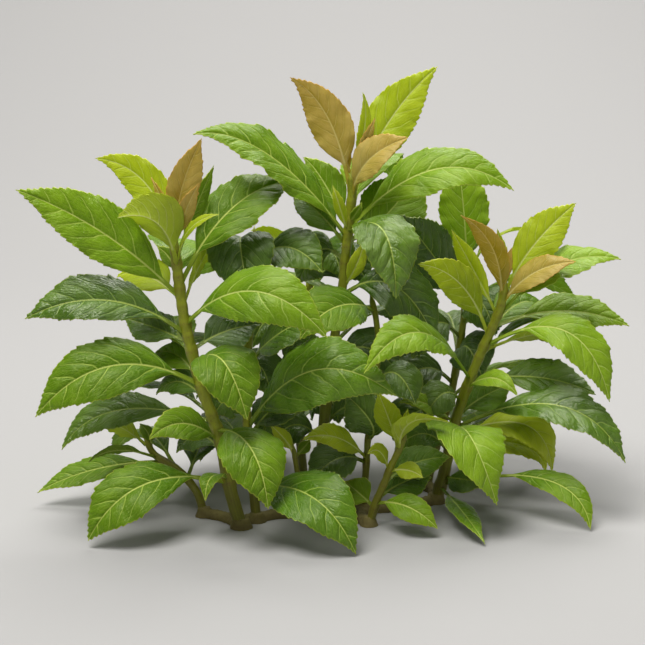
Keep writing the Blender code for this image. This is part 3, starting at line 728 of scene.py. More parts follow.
@dataclass
class Leaf:
    """A leaf on its stalk, as an arc from its node over the middle to the tip.

    Attributes:
        node_height: the height of its node on the stem.
        middle: the place of the middle of its arc.
        tip: the place of its tip.
        width: of the blade.
        stalk: the length from the stem's axis to the blade.
        face: where the upper side looks.
        tone: its age.
        widest: where the blade is widest, from its base to its tip.
        fused: whether its solid is one with its stem's.
        habit: how it differs from the rule.
    """

    node_height: float
    middle: Point
    tip: Point
    width: float
    stalk: float
    face: Point
    tone: Tone
    widest: float = 0.48
    fused: bool = False
    habit: Habit = field(default_factory=Habit)

    STALK_HALF_WIDTH = 0.45
    STALK_PER_WIDTH = 0.02
    STALK_PITCH = 1.3
    NODE_SWELL = 1.25
    GAP = 0.3
    SUNK = 0.35
    START = 0.45
    SHOWN_PART = 0.55
    POINTED = 0.22
    TOOTH_PITCH = 3.2
    TOOTH_DEPTH = 0.66
    TOOTH_STEPS = (0.0, 0.3, 0.62, 0.9)
    TOOTH_RISE = (0.0, 0.40, 0.82, 1.0)
    TEETH_START = 0.05
    TEETH_SPAN = 0.925
    BASE_ROWS = (0.0, 0.018, 0.034)
    TIP_ROWS = (0.975, 0.986, 0.994)
    COLUMN_PITCH = 1.15
    ROW_SLANT = 0.60
    SIDE_SLANTS = (1.0, 0.86)
    FLARE = 0.45
    VEIN_SLANT = 0.75
    VEIN_BEND = 0.95
    VEIN_PAIRS = 7.0
    BROAD = 22.0
    WAVE = 0.050
    RIPPLE = 0.028
    GROOVE = 0.22
    CHANNEL = 0.45

    @property
    def stalk_half(self) -> float:
        """Half the stalk's width."""
        return self.STALK_HALF_WIDTH + self.STALK_PER_WIDTH * self.width

    def midrib(self, base: np.ndarray, steps: int = 80) -> tuple[np.ndarray, ...]:
        """Follows the arc of the leaf with no more turn than it needs.

        Args:
            base: where it leaves the stem's axis.
            steps: how many points it gives.

        Returns:
            Points, lengths, directions to the side and directions of the upper side, one row each.
        """
        middle, tip = np.array(self.middle, float), np.array(self.tip, float)
        pull = 2 * middle - (base + tip) / 2
        t = np.linspace(0, 1, steps)[:, None]
        points = (1 - t) ** 2 * base + 2 * t * (1 - t) * pull + t**2 * tip
        along = unit((1 - t) * (pull - base) + t * (tip - pull))
        lengths = run_lengths(points)
        faces = np.zeros_like(points)
        shown = int(np.argmin(abs(lengths - self.SHOWN_PART * lengths[-1])))
        faces[shown] = unit(self.face - np.dot(self.face, along[shown]) * along[shown])
        for order in (range(shown + 1, steps), range(shown - 1, -1, -1)):
            last = faces[shown]
            for i in order:
                last = faces[i] = unit(last - (last @ along[i]) * along[i])
        sides = np.cross(along, faces)
        turn = np.radians(self.habit.twist) * (lengths / lengths[-1] - self.SHOWN_PART)[:, None]
        turned = np.cos(turn) * faces + np.sin(turn) * sides
        return points, lengths, np.cross(along, turned), turned

    def outline(self, part: np.ndarray) -> np.ndarray:
        """Gives half the blade's width at parts of its length, without its teeth."""
        inside = np.clip(part, 0.0, 1.0)
        power = np.log(0.5) / np.log(self.widest)
        drawn_out = 0.85 + 0.35 * (2 * inside - 1) ** 2
        blade = self.width / 2 * np.sin(np.pi * inside**power) ** drawn_out * (1 - self.POINTED * inside**5)
        stalk = self.stalk_half * (1 - 0.8 * inside)
        return (blade**4 + stalk**4) ** 0.25

    def start_of_blade(self, axis: Axis, points: np.ndarray, lengths: np.ndarray) -> tuple[float, float]:
        """Finds where the stalk leaves the stem and where the blade begins.

        Args:
            axis: the stem's axis.
            points: the points of the arc.
            lengths: the length at each.

        Returns:
            The length at which the mesh starts, inside the stem, and the one at which the blade does.
        """
        clear = np.linalg.norm(points[:, None] - axis.curve[None], axis=2).min(axis=1)
        radius = axis.radius(self.node_height)
        reach = radius * self.SUNK if self.fused else radius * self.NODE_SWELL + self.GAP + self.stalk_half
        blade = max(self.stalk, lengths[np.argmax(clear >= reach)] + 1.0)
        return lengths[np.argmax(clear >= radius * self.START)], blade

    def rows(self, start: float, blade: float, end: float, draw: Draw) -> tuple[np.ndarray, np.ndarray]:
        """Places the rows of the mesh: a few on the stalk, then four to a tooth.

        Args:
            start: the length at which the stalk starts.
            blade: the length at which the blade starts.
            end: the length at the tip.
            draw: the source of the leaf's own irregularity.

        Returns:
            The length at each row, and how far the margin stands out there on either side.
        """
        teeth = max(5, round((end - blade) / self.TOOTH_PITCH))
        edges = np.cumsum(np.concatenate(([0], 1 + draw.uniform(-0.18, 0.18, teeth))))
        edges = self.TEETH_START + self.TEETH_SPAN * edges / edges[-1]
        parts = (edges[:-1, None] + np.diff(edges)[:, None] * np.array(self.TOOTH_STEPS)).ravel()
        depth = self.TOOTH_DEPTH * np.clip(self.width / self.BROAD, 0.35, 1.0)
        depth = depth * smooth(parts, self.TEETH_START, 0.3) * np.tile(self.TOOTH_RISE, teeth)
        sides = [depth * np.repeat(draw.uniform(0.35, 1.35, teeth), len(self.TOOTH_STEPS)) for _ in range(2)]
        stalk = np.linspace(start, blade, max(4, int((blade - start) / self.STALK_PITCH)), endpoint=False)
        parts = np.concatenate((self.BASE_ROWS, parts, self.TIP_ROWS))
        bare = ((len(stalk) + len(self.BASE_ROWS), len(self.TIP_ROWS)), (0, 0))
        return np.concatenate((stalk, blade + (end - blade) * parts)), np.pad(np.stack(sides, axis=1), bare)

    def columns(self, half: np.ndarray, rib: np.ndarray) -> np.ndarray:
        """Places the columns of one half of each row.

        Args:
            half: the half width at each row.
            rib: half the midrib's width at each row.

        Returns:
            Distances from the midrib to the margin, by row, at fine steps by the midrib and the margin.
        """
        near = np.stack((0 * half, np.minimum(0.4 * rib, 0.2 * half), np.minimum(rib, 0.42 * half)), axis=1)
        last = half - np.minimum(0.26, 0.14 * half)
        first = np.minimum(1.8 * rib, 0.62 * half)
        count = int(np.clip(round(self.width / 2 / self.COLUMN_PITCH), 3, 10))
        across = first[:, None] + (last - first)[:, None] * np.linspace(0, 1, count + 1)
        return np.hstack((near, across, half[:, None]))

    def grid(self, start: float, blade: float, end: float, draw: Draw) -> Grid:
        """Lays the leaf's points out flat.

        Args:
            start: the length at which the stalk starts.
            blade: the length at which the blade starts.
            end: the length at the tip.
            draw: the source of the leaf's own irregularity.

        Returns:
            The points.
        """
        places, teeth = self.rows(start, blade, end, draw)
        span = end - blade
        part = (places - blade) / span
        flare = 1 + self.FLARE * np.exp(-(places - start) / 1.2)
        rib = np.maximum(0.16, self.stalk_half * (1 - 0.80 * np.clip(part, 0, 1) ** 0.7)) * 0.8
        margins = places[:, None] + self.ROW_SLANT * self.outline(part)[:, None] * np.array(self.SIDE_SLANTS)
        margins = np.minimum(margins, end - (end - places[:, None]) * 0.35)
        reaches = self.outline((margins - blade) / span) * flare[:, None] + teeth
        reaches = reaches * (1 + (self.habit.lean + draw.uniform(-0.03, 0.03)) * np.array((1.0, -1.0)))
        halves = []
        for reach, margin, sign in zip(reaches.T, margins.T, (1, -1)):
            away = self.columns(reach, rib)
            share = away / reach[:, None]
            where = places[:, None] + (margin - places)[:, None] * share
            halves.append((where, sign * away, share, np.broadcast_to(reach[:, None], away.shape)))
        where, across, share, half = (np.hstack((a[:, :0:-1], b)) for a, b in zip(*halves))
        along, away = where - blade, np.abs(across)
        bend = self.VEIN_BEND * away**2 / (self.width / 2)
        phase = (along - self.VEIN_SLANT * away - bend) * self.VEIN_PAIRS / span
        return Grid(along, along / span, across, share, half, rib[:, None], phase)

    def lift(self, grid: Grid, quilting: float, draw: Draw) -> np.ndarray:
        """Shapes the blade: its fold, its bulges between the veins, its waves and the groove of its midrib.

        Args:
            grid: the leaf's points.
            quilting: how far the blade rises between two side veins.
            draw: the source of the leaf's own irregularity.

        Returns:
            How far each point lies above the midrib's arc.
        """
        habit, share, left = self.habit, grid.share, grid.across > 0
        on_blade = smooth(grid.part, -0.01, 0.10)
        fold = grid.half * (habit.fold * share - habit.curl * share**2)
        turn = grid.phase + LeafPattern.SIDE_SHIFT * left
        bulge = np.abs(np.sin(np.pi * turn)) ** 0.75 * smooth(share, 0.0, 0.34) * (1 - 0.55 * share**3)
        size = quilting * np.clip(self.width / self.BROAD, 0.3, 1.15) * smooth(1 - grid.part, 0.0, 0.18)
        starts = draw.uniform(0, 2 * np.pi, 4)
        waves = 2 * np.pi * draw.uniform(2.2, 3.4) * grid.part
        rolling = np.sin(waves + np.where(left, starts[0], starts[1])) + 0.5 * np.sin(2.3 * waves + starts[2])
        ripple = self.RIPPLE * np.cos(2 * np.pi * turn) * share**3
        wave = habit.wave * grid.half * (self.WAVE * share**2 * rolling + ripple)
        groove = self.GROOVE * np.exp(-((grid.across / (grid.rib * 1.5)) ** 2))
        channel = -self.CHANNEL * grid.rib * (1 - share**2)
        return on_blade * (fold + size * bulge + wave - groove) + (1 - on_blade) * channel

    def build(self, name: str, axis: Axis, finish: LeafFinish) -> bpy.types.Object:
        """Makes the leaf as one thin closed mesh.

        Args:
            name: its name.
            axis: the axis of the stem that it grows from.
            finish: the finish of its age, which says how thick and how quilted it is.

        Returns:
            The object, with its upper and lower faces in two material slots.
        """
        draw = np.random.default_rng(zlib.crc32(name.encode()))
        points, lengths, sides, faces = self.midrib(axis.at(self.node_height))
        start, blade = self.start_of_blade(axis, points, lengths)
        grid = self.grid(start, blade, lengths[-1], draw)
        lift = self.lift(grid, finish.quilting, draw)
        centre, side, face = (read_along(grid.along + blade, lengths, rows) for rows in (points, sides, faces))
        thick = finish.thickness * np.clip(self.width / 20, 0.6, 1.0) / 2
        thin = thick * np.sqrt(np.clip(1 - grid.share**6, 0, 1))
        depth = grid.rib * 1.15 * np.sqrt(np.clip(1 - (grid.across / (grid.rib * 1.25)) ** 2, 0, 1))
        flat = centre + side * grid.across[..., None]
        top = flat + face * (lift + thin)[..., None]
        bottom = flat + face * (lift - thin - depth)[..., None]
        shade = draw.uniform(-1, 1)
        # the leaf's lightness: drawn at random as its own tone, or given per leaf, where it is partly its own
        # tone and partly painted light and shade
        tone_and_light = np.full_like(lift, shade if self.habit.tone_and_light is None else self.habit.tone_and_light)
        blade_mark = np.stack((grid.along, grid.across, grid.half - np.abs(grid.across)), axis=-1)
        vein_mark = np.stack((grid.phase, grid.part, tone_and_light), axis=-1)
        rings, blades, veins = (
            np.concatenate((upper, under[:, -2:0:-1]), axis=1)
            for upper, under in ((top, bottom), (blade_mark, blade_mark), (vein_mark, vein_mark))
        )
        return skin(name, rings, points[-1], {"blade": blades, "veins": veins}, under_from=top.shape[1] - 1)


@dataclass
class SmallLeaf(Leaf):
    """A leaf whose solid is one with its stem's."""

    fused: bool = True


@dataclass
class Stem:
    """A stem with its nodes, bud and leaves.

    Attributes:
        foot_radius: its radius at the foot.
        tip_radius: its radius at the tip.
        points: the points that its axis passes, from the ground up.
        leaves: its leaves, numbered in this order.
    """

    foot_radius: float
    tip_radius: float
    points: tuple[Point, ...]
    leaves: tuple[Leaf, ...] = ()

    FOOT = 2.0
    BUD_LENGTH = 3.0
    RING_PITCH = 0.75
    SIDES = 28
    LEAST_INTERNODE = 4.0
    SWELL = 0.14
    SWELL_LENGTH = 2.2
    WAIST = 0.02
    WAIST_LENGTH = 0.7
    SCAR = 0.28
    SCAR_LENGTH = 0.6
    CORNERED = 0.055
    RIDGED = 0.045
    LUMPY = 0.028

    @property
    def axis(self) -> Axis:
        """The stem's axis."""
        return Axis(smooth_path(self.points), self.foot_radius, self.tip_radius)

    def node_heights(self) -> np.ndarray:
        """Lists the heights at which leaves grow, close ones as one."""
        heights: list[float] = []
        for leaf in self.leaves:
            if not heights or leaf.node_height - heights[-1] > self.LEAST_INTERNODE:
                heights.append(leaf.node_height)
        return np.array(heights)

    def build(self, name: str) -> bpy.types.Object:
        """Makes the stem: ridged, swollen at its nodes, with the scars of its leaves, and ending in a bud.

        Args:
            name: its name.

        Returns:
            The object.
        """
        axis = self.axis
        curve = np.vstack((axis.at(self.FOOT), axis.curve[axis.curve[:, 2] >= self.FOOT]))
        lengths = run_lengths(curve)
        places = np.linspace(0, lengths[-1], int(lengths[-1] / self.RING_PITCH))
        centres = read_along(places, lengths, curve)
        along = unit(np.gradient(centres, axis=0))
        first = unit(np.cross((0, 1, 0), along))
        second = np.cross(along, first)
        height = centres[:, 2:]
        off = height - self.node_heights()
        nearest = np.abs(off).argmin(axis=1)[:, None]
        gap = np.take_along_axis(off, nearest, axis=1)
        swell = self.SWELL * np.exp(-((gap / self.SWELL_LENGTH) ** 2))
        swell -= self.WAIST * np.exp(-(((gap - self.SWELL_LENGTH) / self.WAIST_LENGTH) ** 2))
        closing = 0.45 + 0.55 * smooth(lengths[-1] - places, -0.5, 2.2)[:, None]
        angle = np.arange(self.SIDES)[None] * 2 * np.pi / self.SIDES
        corner = np.cos(4 * angle + np.pi * nearest)
        ridge = 0.5 + 0.5 * np.cos(12 * angle + 0.6 * np.sin(height / 9))
        lumps = np.sin(3 * angle + height * 0.31) * np.sin(height * 0.47 + 1.3)
        profile = 1 + self.CORNERED * corner + self.RIDGED * (ridge - 0.5) + self.LUMPY * lumps
        reach = axis.radius(height) * (1 + swell) * closing * profile
        turned = np.cos(angle)[..., None] * first[:, None] + np.sin(angle)[..., None] * second[:, None]
        rings = centres[:, None] + reach[..., None] * turned
        scar = self.SCAR * np.exp(-((gap / self.SCAR_LENGTH) ** 2))
        marks = np.stack(np.broadcast_arrays(height, scar, ridge), axis=-1)
        return skin(name, rings, centres[-1] + along[-1] * self.BUD_LENGTH, {"skin": marks})


STEMS = {
    "left": Stem(2.6, 1.9, (
        (-33, -24, 0), (-37, -24, 15), (-42, -23, 39), (-49, -22, 60), (-55, -21, 86), (-58, -20, 110),
        (-59, -20, 118),
    ), (
        Leaf(19, (-70, -43, 24), (-92, -50, 3), 23, 15, (-0.1, -0.75, 0.65), GREEN, widest=0.56),
        SmallLeaf(21, (-44, -40, 26), (-46, -46, 18), 9, 4, (-0.3, -0.8, 0.5), GREEN),
        SmallLeaf(36, (-55, -36, 47), (-68, -42, 42), 14, 5, (0, -0.85, 0.55), GREEN),
        Leaf(41, (-28, -47, 40), (-21, -56, 18), 26, 9, (0.3, -0.8, 0.5), GREEN),
        Leaf(44, (-83, -16, 47), (-106, -18, 31), 18, 16, (0, -0.6, 0.8), DARK, widest=0.50),
        Leaf(47, (-70, 6, 52), (-99, 20, 40), 20, 12, (-0.2, 0.3, 0.9), DARK),
        Leaf(59, (-83, -35, 70), (-113, -38, 50), 25, 12, (-0.1, -0.85, 0.55), GREEN),
        SmallLeaf(60, (-60, -6, 68), (-71, 2, 65), 16, 8, (-0.2, -0.5, 0.85), GREEN),
        Leaf(65, (-64, 10, 78), (-74, 40, 66), 22, 12, (-0.2, 0.5, 0.85), GREEN),
        Leaf(67, (-39, -42, 74), (-29, -50, 52), 26, 7, (0.3, -0.8, 0.5), GREEN),
        SmallLeaf(73, (-40, -9, 78), (-25, -3, 80), 19, 8, (0.1, -0.7, 0.7), DARK),
        SmallLeaf(76, (-68, -6, 79), (-82, 4, 81), 17, 8, (-0.1, -0.6, 0.8), DARK),
        Leaf(79, (-84, -29, 95), (-117, -31, 88), 20, 11, (0, -0.8, 0.6), DARK, widest=0.52),
        Leaf(84, (-26, -46, 102), (2, -52, 85), 24, 10, (0.1, -0.85, 0.5), FRESH, widest=0.50),
        SmallLeaf(91, (-48, -6, 109), (-38, 8, 120), 15, 7, (-0.6, 0.55, 0.5), LIME),
        Leaf(94, (-85, -27, 121), (-119, -30, 139), 23, 10, (-0.1, -0.85, 0.5), GREEN, widest=0.47),
        SmallLeaf(94, (-72, -6, 101), (-84, 0, 99), 18, 8, (-0.1, -0.6, 0.75), LIME),
        Leaf(98, (-61, 8, 112), (-64, 36, 103), 21, 11, (0.1, 0.5, 0.85), FRESH),
        Leaf(99, (-36, -12, 129), (-11, 5, 138), 25, 14, (-0.2, -0.7, 0.7), GREEN),
        SmallLeaf(103, (-61, -17, 110), (-66, -14, 114), 6, 3, (-0.4, -0.6, 0.6), GREEN),
        Leaf(106, (-64, -31, 126), (-79, -36, 129), 19, 10, (-0.35, 0.5, 0.8), LIME, widest=0.45),
        SmallLeaf(108, (-52, -29, 123), (-40, -34, 130), 7, 6, (-0.1, -0.5, 0.8), LIME),
        Leaf(109, (-69, -14, 138), (-90, -12, 149), 15, 10, (-0.4, -0.7, 0.6), LIME, widest=0.45),
        SmallLeaf(109, (-50, -15, 130), (-43, -11, 146), 9, 8, (0.75, -0.6, 0.2), GREEN),
        Leaf(113, (-56, -21, 135), (-47, -22, 158), 13, 6, (0.35, -0.9, 0.2), BRONZE),
        SmallLeaf(115, (-53, -25, 131), (-48, -27, 141), 7, 5, (0.3, -0.8, 0.4), BRONZE),
        SmallLeaf(115, (-62, -25, 132), (-67, -24, 143), 4, 5, (-0.3, -0.8, 0.4), BRONZE),
        SmallLeaf(30, (-50, -14, 36), (-60, -12, 28), 16, 6, (-0.1, -0.7, 0.7), DARK),
        SmallLeaf(52, (-58, -12, 58), (-68, -10, 52), 14, 6, (-0.2, -0.6, 0.8), DEEP),
    )),
    "centre": Stem(2.4, 1.7, (
        (-2, 5, 0), (0, 6, 28), (3, 6, 59), (8, 6, 92), (10, 5, 113), (12, 5, 132), (12, 5, 141),
    ), (
        Leaf(44, (20, 26, 56), (24, 56, 44), 24, 11, (0.1, 0.6, 0.8), DARK),
        Leaf(70, (24, 30, 80), (34, 58, 66), 24, 11, (0.1, 0.6, 0.8), DARK),
        SmallLeaf(84, (-10, 28, 94), (-32, 46, 88), 20, 10, (-0.2, 0.5, 0.85), GREEN),
        Leaf(90, (29, -3, 96), (47, -2, 71), 25, 8, (0.25, -0.75, 0.6), DARK),
        SmallLeaf(92, (14, 2, 104), (17, 4, 113), 7, 5, (0.3, -0.8, 0.4), LIME),
        SmallLeaf(104, (-1, 12, 108), (-10, 16, 93), 22, 7, (-0.1, -0.7, 0.7), DARK),
        SmallLeaf(111, (-2, 6, 125), (-12, 14, 131), 15, 7, (-0.1, -0.6, 0.8), DEEP),
        Leaf(113, (27, 20, 122), (40, 28, 140), 28, 8, (0.15, -0.8, 0.55), GREEN),
        Leaf(115, (-22, -6, 150), (-51, -16, 159), 26, 11, (-0.1, -0.5, 0.87), GREEN, widest=0.45),
        SmallLeaf(116, (7, -1, 128), (4, -2, 137), 5, 4, (-0.3, -0.8, 0.4), LIME),
        Leaf(117, (24, -18, 121), (29, -26, 95), 25, 7, (0.3, -0.8, 0.5), DARK),
        Leaf(118, (45, 0, 143), (77, -4, 135), 22, 13, (0.05, -0.7, 0.7), FRESH, widest=0.45),
        SmallLeaf(120, (14, 0, 126), (16, -1, 130), 4, 2, (0.3, -0.8, 0.5), GREEN),
        Leaf(121, (20, 34, 142), (30, 62, 132), 25, 12, (0.1, 0.6, 0.8), FRESH),
        Leaf(129, (3, 2, 162), (-13, -2, 180), 17, 8, (-0.3, -0.9, 0.35), BRONZE, widest=0.41),
        Leaf(131, (27, 12, 161), (47, 18, 183), 20, 9, (0.3, -0.8, 0.5), LIME, widest=0.44),
        SmallLeaf(131, (18, -5, 147), (34, -10, 157), 15, 6, (-0.3, -0.8, 0.5), BRONZE),
        SmallLeaf(138, (17, 3, 160), (16, -1, 174), 5, 5, (0.2, -0.9, 0.3), LIME),
        SmallLeaf(138, (17, -1, 153), (21, -2, 164), 5, 5, (0.3, -0.8, 0.4), BRONZE),
        SmallLeaf(138, (9, 6, 150), (9, 8, 158), 5, 4, (-0.2, -0.9, 0.3), BRONZE),
        SmallLeaf(28, (-12, 2, 36), (-22, -2, 26), 18, 6, (-0.1, -0.75, 0.6), DARK),
        SmallLeaf(34, (14, 12, 42), (27, 8, 32), 18, 6, (0.1, -0.75, 0.6), DARK),
        SmallLeaf(60, (-7, 5, 69), (-13, 3, 60), 17, 7, (-0.1, -0.75, 0.6), DARK),
        SmallLeaf(62, (18, 11, 67), (32, 9, 56), 20, 7, (0.2, -0.75, 0.6), DARK),
        SmallLeaf(118, (0, 13, 137), (-8, 17, 146), 15, 6, (-0.2, -0.8, 0.5), FRESH),
    )),
    "right": Stem(2.5, 1.7, (
        (48, 10, 0), (52, 10, 15), (56, 8, 37), (63, 6, 59), (69, 5, 74), (73, 4, 85), (75, 3, 95),
    ), (
        SmallLeaf(7, (58, -33, 7), (64, -48, 1), 11, 14, (0.2, -0.7, 0.6), DEEP),
        Leaf(8, (92, -14, 17), (108, -30, 1), 13, 31, (0.15, -0.6, 0.8), GREEN, widest=0.54),
        SmallLeaf(11, (59, 0, 13), (69, -6, 13), 15, 4, (0.1, -0.7, 0.7), DEEP),
        SmallLeaf(24, (74, 28, 32), (98, 44, 14), 21, 10, (0.2, 0.5, 0.85), DARK),
        SmallLeaf(26, (84, 10, 25), (94, 7, 13), 16, 9, (0.1, -0.4, 0.9), LIME),
        Leaf(29, (84, 3, 36), (96, 1, 16), 19, 12, (0.25, -0.6, 0.8), LIME),
        Leaf(31, (59, -31, 40), (69, -42, 15), 31, 8, (0.3, -0.8, 0.5), FRESH, widest=0.44),
        Leaf(33, (96, -12, 48), (123, -20, 26), 22, 18, (0.22, -0.55, 0.8), DARK, widest=0.50),
        SmallLeaf(35, (42, -4, 47), (31, -8, 48), 9, 6, (-0.1, -0.7, 0.7), GREEN),
        SmallLeaf(37, (66, 14, 44), (80, 20, 49), 17, 6, (0.1, -0.6, 0.8), DEEP),
        SmallLeaf(51, (70, -10, 59), (79, -16, 53), 9, 5, (0.1, -0.8, 0.6), FRESH),
        Leaf(53, (89, 8, 55), (114, 6, 48), 20, 14, (0.05, -0.65, 0.75), DARK),
        Leaf(55, (38, -28, 82), (16, -44, 69), 20, 16, (-0.1, -0.7, 0.7), FRESH),
        Leaf(64, (92, 26, 76), (118, 40, 62), 20, 11, (0.2, 0.4, 0.9), GREEN),
        SmallLeaf(67, (94, 12, 73), (108, 14, 63), 15, 10, (0.1, 0.65, 0.75), LIME),
        Leaf(69, (98, -12, 79), (116, -18, 51), 20, 18, (0.3, -0.75, 0.6), FRESH),
        SmallLeaf(73, (56, -6, 97), (38, -15, 107), 15, 10, (-0.3, -0.75, 0.6), LIME),
        Leaf(77, (100, 14, 82), (128, 12, 76), 19, 14, (0.05, -0.6, 0.8), GREEN),
        Leaf(80, (95, 2, 103), (122, 2, 106), 19, 12, (0, -0.45, 0.9), FRESH),
        SmallLeaf(82, (61, 2, 103), (52, -4, 119), 9, 7, (-0.5, -0.7, 0.4), LIME),
        SmallLeaf(86, (85, -4, 101), (102, -9, 107), 12, 6, (-0.1, -0.75, 0.65), BRONZE),
        SmallLeaf(87, (69, -5, 111), (55, -11, 126), 11, 6, (-0.5, -0.75, 0.4), BRONZE),
        Leaf(88, (85, 6, 109), (104, 10, 128), 17, 7, (0.3, -0.75, 0.6), LIME),
        SmallLeaf(92, (75, 1, 103), (77, 0, 111), 5, 3, (0.2, -0.8, 0.3), BRONZE),
        SmallLeaf(92, (74, 8, 105), (72, 12, 117), 5, 4, (-0.2, -0.8, 0.3), LIME),
        SmallLeaf(22, (42, 3, 32), (30, 0, 25), 16, 5, (-0.1, -0.8, 0.5), DEEP),
        SmallLeaf(45, (50, 0, 50), (42, -4, 40), 16, 5, (-0.1, -0.75, 0.6), DARK),
        SmallLeaf(72, (84, 22, 84), (99, 34, 74), 20, 8, (0.1, -0.5, 0.85), DEEP),
    )),
    "mid_left": Stem(1.9, 1.5, (
        (-27, -16, 0), (-29, -14, 21), (-31, -8, 41), (-31, 0, 64), (-29, 6, 88), (-28, 9, 109),
        (-28, 9, 116),
    ), (
        Leaf(14, (-4, -50, 21), (13, -60, 1), 28, 12, (0.25, -0.75, 0.6), DEEP),
        SmallLeaf(24, (-40, 14, 34), (-48, 44, 28), 20, 9, (-0.1, 0.5, 0.85), DARK),
        SmallLeaf(34, (-16, -18, 51), (-3, -14, 49), 20, 8, (0.1, -0.6, 0.8), DARK),
        Leaf(38, (-3, -38, 69), (29, -36, 58), 29, 12, (0, -0.82, 0.58), DEEP),
        Leaf(55, (-46, 26, 68), (-68, 50, 54), 23, 12, (-0.2, 0.5, 0.85), DARK),
        SmallLeaf(62, (-15, -14, 80), (2, -19, 85), 22, 9, (0.1, -0.6, 0.8), DARK),
        Leaf(96, (-44, 32, 106), (-62, 54, 92), 23, 12, (-0.3, 0.6, 0.75), GREEN),
        SmallLeaf(104, (-33, -8, 116), (-29, -18, 93), 27, 7, (-0.1, -0.85, 0.5), DARK),
        SmallLeaf(104, (-14, -4, 112), (0, -12, 103), 22, 6, (0.05, -0.7, 0.7), DARK),
        SmallLeaf(38, (-37, -8, 50), (-45, -9, 42), 18, 5, (-0.1, -0.8, 0.5), DARK),
        SmallLeaf(52, (-26, -2, 62), (-21, -6, 50), 18, 5, (0.1, -0.75, 0.6), DARK),
    )),
    "back_left": Stem(1.7, 1.3, ((-49, -9, 0), (-52, -6, 9), (-60, 0, 17), (-70, 5, 22), (-74, 6, 28)), (
        SmallLeaf(14, (-52, 22, 22), (-54, 44, 8), 16, 7, (0, 0.5, 0.85), DARK),
        SmallLeaf(18, (-78, 30, 26), (-94, 52, 8), 17, 8, (-0.2, 0.4, 0.9), GREEN),
        SmallLeaf(20, (-96, 8, 15), (-120, 4, 6), 15, 10, (0, -0.5, 0.87), GREEN),
        SmallLeaf(21, (-85, 0, 26), (-97, -5, 22), 11, 8, (0, 0.6, 0.8), GREEN),
        SmallLeaf(22, (-83, 8, 33), (-98, 12, 35), 17, 9, (-0.2, 0.7, 0.7), LIME),
        SmallLeaf(24, (-73, 8, 30), (-77, 12, 34), 7, 3, (0.5, -0.6, 0.6), GREEN),
    )),
    "back_right": Stem(1.9, 1.4, (
        (45, 30, 0), (50, 32, 21), (56, 34, 43), (60, 35, 69), (62, 35, 89), (63, 35, 99),
    ), (
        SmallLeaf(22, (66, 56, 28), (72, 84, 8), 20, 9, (0.1, 0.6, 0.8), DEEP),
        Leaf(40, (84, 52, 50), (108, 66, 32), 24, 12, (0.3, 0.5, 0.8), GREEN),
        Leaf(58, (56, 66, 70), (52, 96, 54), 25, 12, (0, 0.7, 0.7), DARK),
        Leaf(78, (86, 48, 90), (112, 56, 78), 22, 11, (0.3, 0.5, 0.8), FRESH),
        SmallLeaf(82, (46, 17, 105), (32, 3, 124), 24, 9, (0.1, -0.85, 0.5), DARK),
        Leaf(90, (60, 32, 118), (57, 34, 144), 21, 8, (0, -0.95, 0.3), FRESH),
        SmallLeaf(92, (62, 60, 108), (66, 84, 100), 21, 10, (0.1, 0.7, 0.7), GREEN),
        SmallLeaf(96, (74, 44, 108), (90, 54, 110), 14, 7, (0.5, 0.5, 0.6), LIME),
        SmallLeaf(97, (62, 42, 112), (58, 52, 120), 11, 6, (-0.2, 0.7, 0.6), BRONZE),
        SmallLeaf(30, (42, 26, 36), (30, 20, 24), 20, 7, (-0.1, -0.75, 0.6), DARK),
        SmallLeaf(46, (43, 24, 55), (29, 16, 45), 24, 8, (-0.1, -0.75, 0.6), DARK),
        SmallLeaf(66, (48, 26, 74), (38, 20, 60), 20, 8, (-0.1, -0.8, 0.6), DARK),
        SmallLeaf(52, (61, 27, 64), (68, 23, 51), 22, 7, (0.1, -0.8, 0.6), DARK),
        SmallLeaf(72, (66, 26, 84), (73, 20, 70), 22, 7, (0.1, -0.8, 0.6), DARK),
    )),
    "back_centre": Stem(1.9, 1.4, (
        (-8, 36, 0), (-10, 40, 23), (-11, 43, 50), (-9, 44, 74), (-5, 44, 90), (-4, 44, 98),
    ), (
        SmallLeaf(20, (-14, 64, 26), (-24, 92, 8), 20, 9, (0, 0.6, 0.8), DARK),
        Leaf(38, (-32, 60, 46), (-58, 78, 28), 25, 12, (-0.3, 0.6, 0.75), DARK),
        Leaf(38, (14, 62, 48), (38, 84, 32), 25, 12, (0.3, 0.6, 0.75), GREEN),
        Leaf(60, (-12, 74, 74), (-16, 104, 56), 26, 12, (0, 0.75, 0.65), GREEN),
        Leaf(82, (-34, 62, 94), (-60, 78, 84), 25, 12, (-0.3, 0.6, 0.75), FRESH),
        Leaf(82, (12, 62, 96), (38, 80, 86), 25, 12, (0.3, 0.6, 0.75), GREEN),
        SmallLeaf(86, (-8, 66, 99), (-14, 90, 92), 20, 9, (0, 0.7, 0.7), LIME),
        SmallLeaf(92, (-18, 48, 105), (-31, 52, 110), 14, 7, (-0.3, 0.6, 0.7), LIME),
        SmallLeaf(84, (8, 42, 98), (20, 34, 89), 18, 8, (0.2, -0.8, 0.5), DARK),
        SmallLeaf(90, (3, 34, 104), (8, 26, 93), 20, 8, (0.1, -0.8, 0.5), DARK),
        SmallLeaf(30, (-20, 28, 36), (-26, 18, 26), 18, 8, (-0.1, -0.8, 0.5), DARK),
        SmallLeaf(30, (1, 28, 42), (7, 22, 31), 24, 8, (0.1, -0.8, 0.5), DARK),
        SmallLeaf(70, (-22, 30, 76), (-30, 22, 64), 20, 8, (-0.1, -0.8, 0.5), DARK),
    )),
    "front": Stem(1.7, 1.2, (
        (19, -21, 0), (22, -23, 11), (25, -24, 19), (28, -25, 27), (31, -26, 34), (33, -26, 40),
    ), (
        SmallLeaf(8, (15, -16, 12), (9, -12, 16), 13, 4, (-0.2, -0.8, 0.5), GREEN),
        SmallLeaf(10, (34, -34, 12), (46, -38, 4), 12, 5, (0.1, -0.8, 0.6), GREEN),
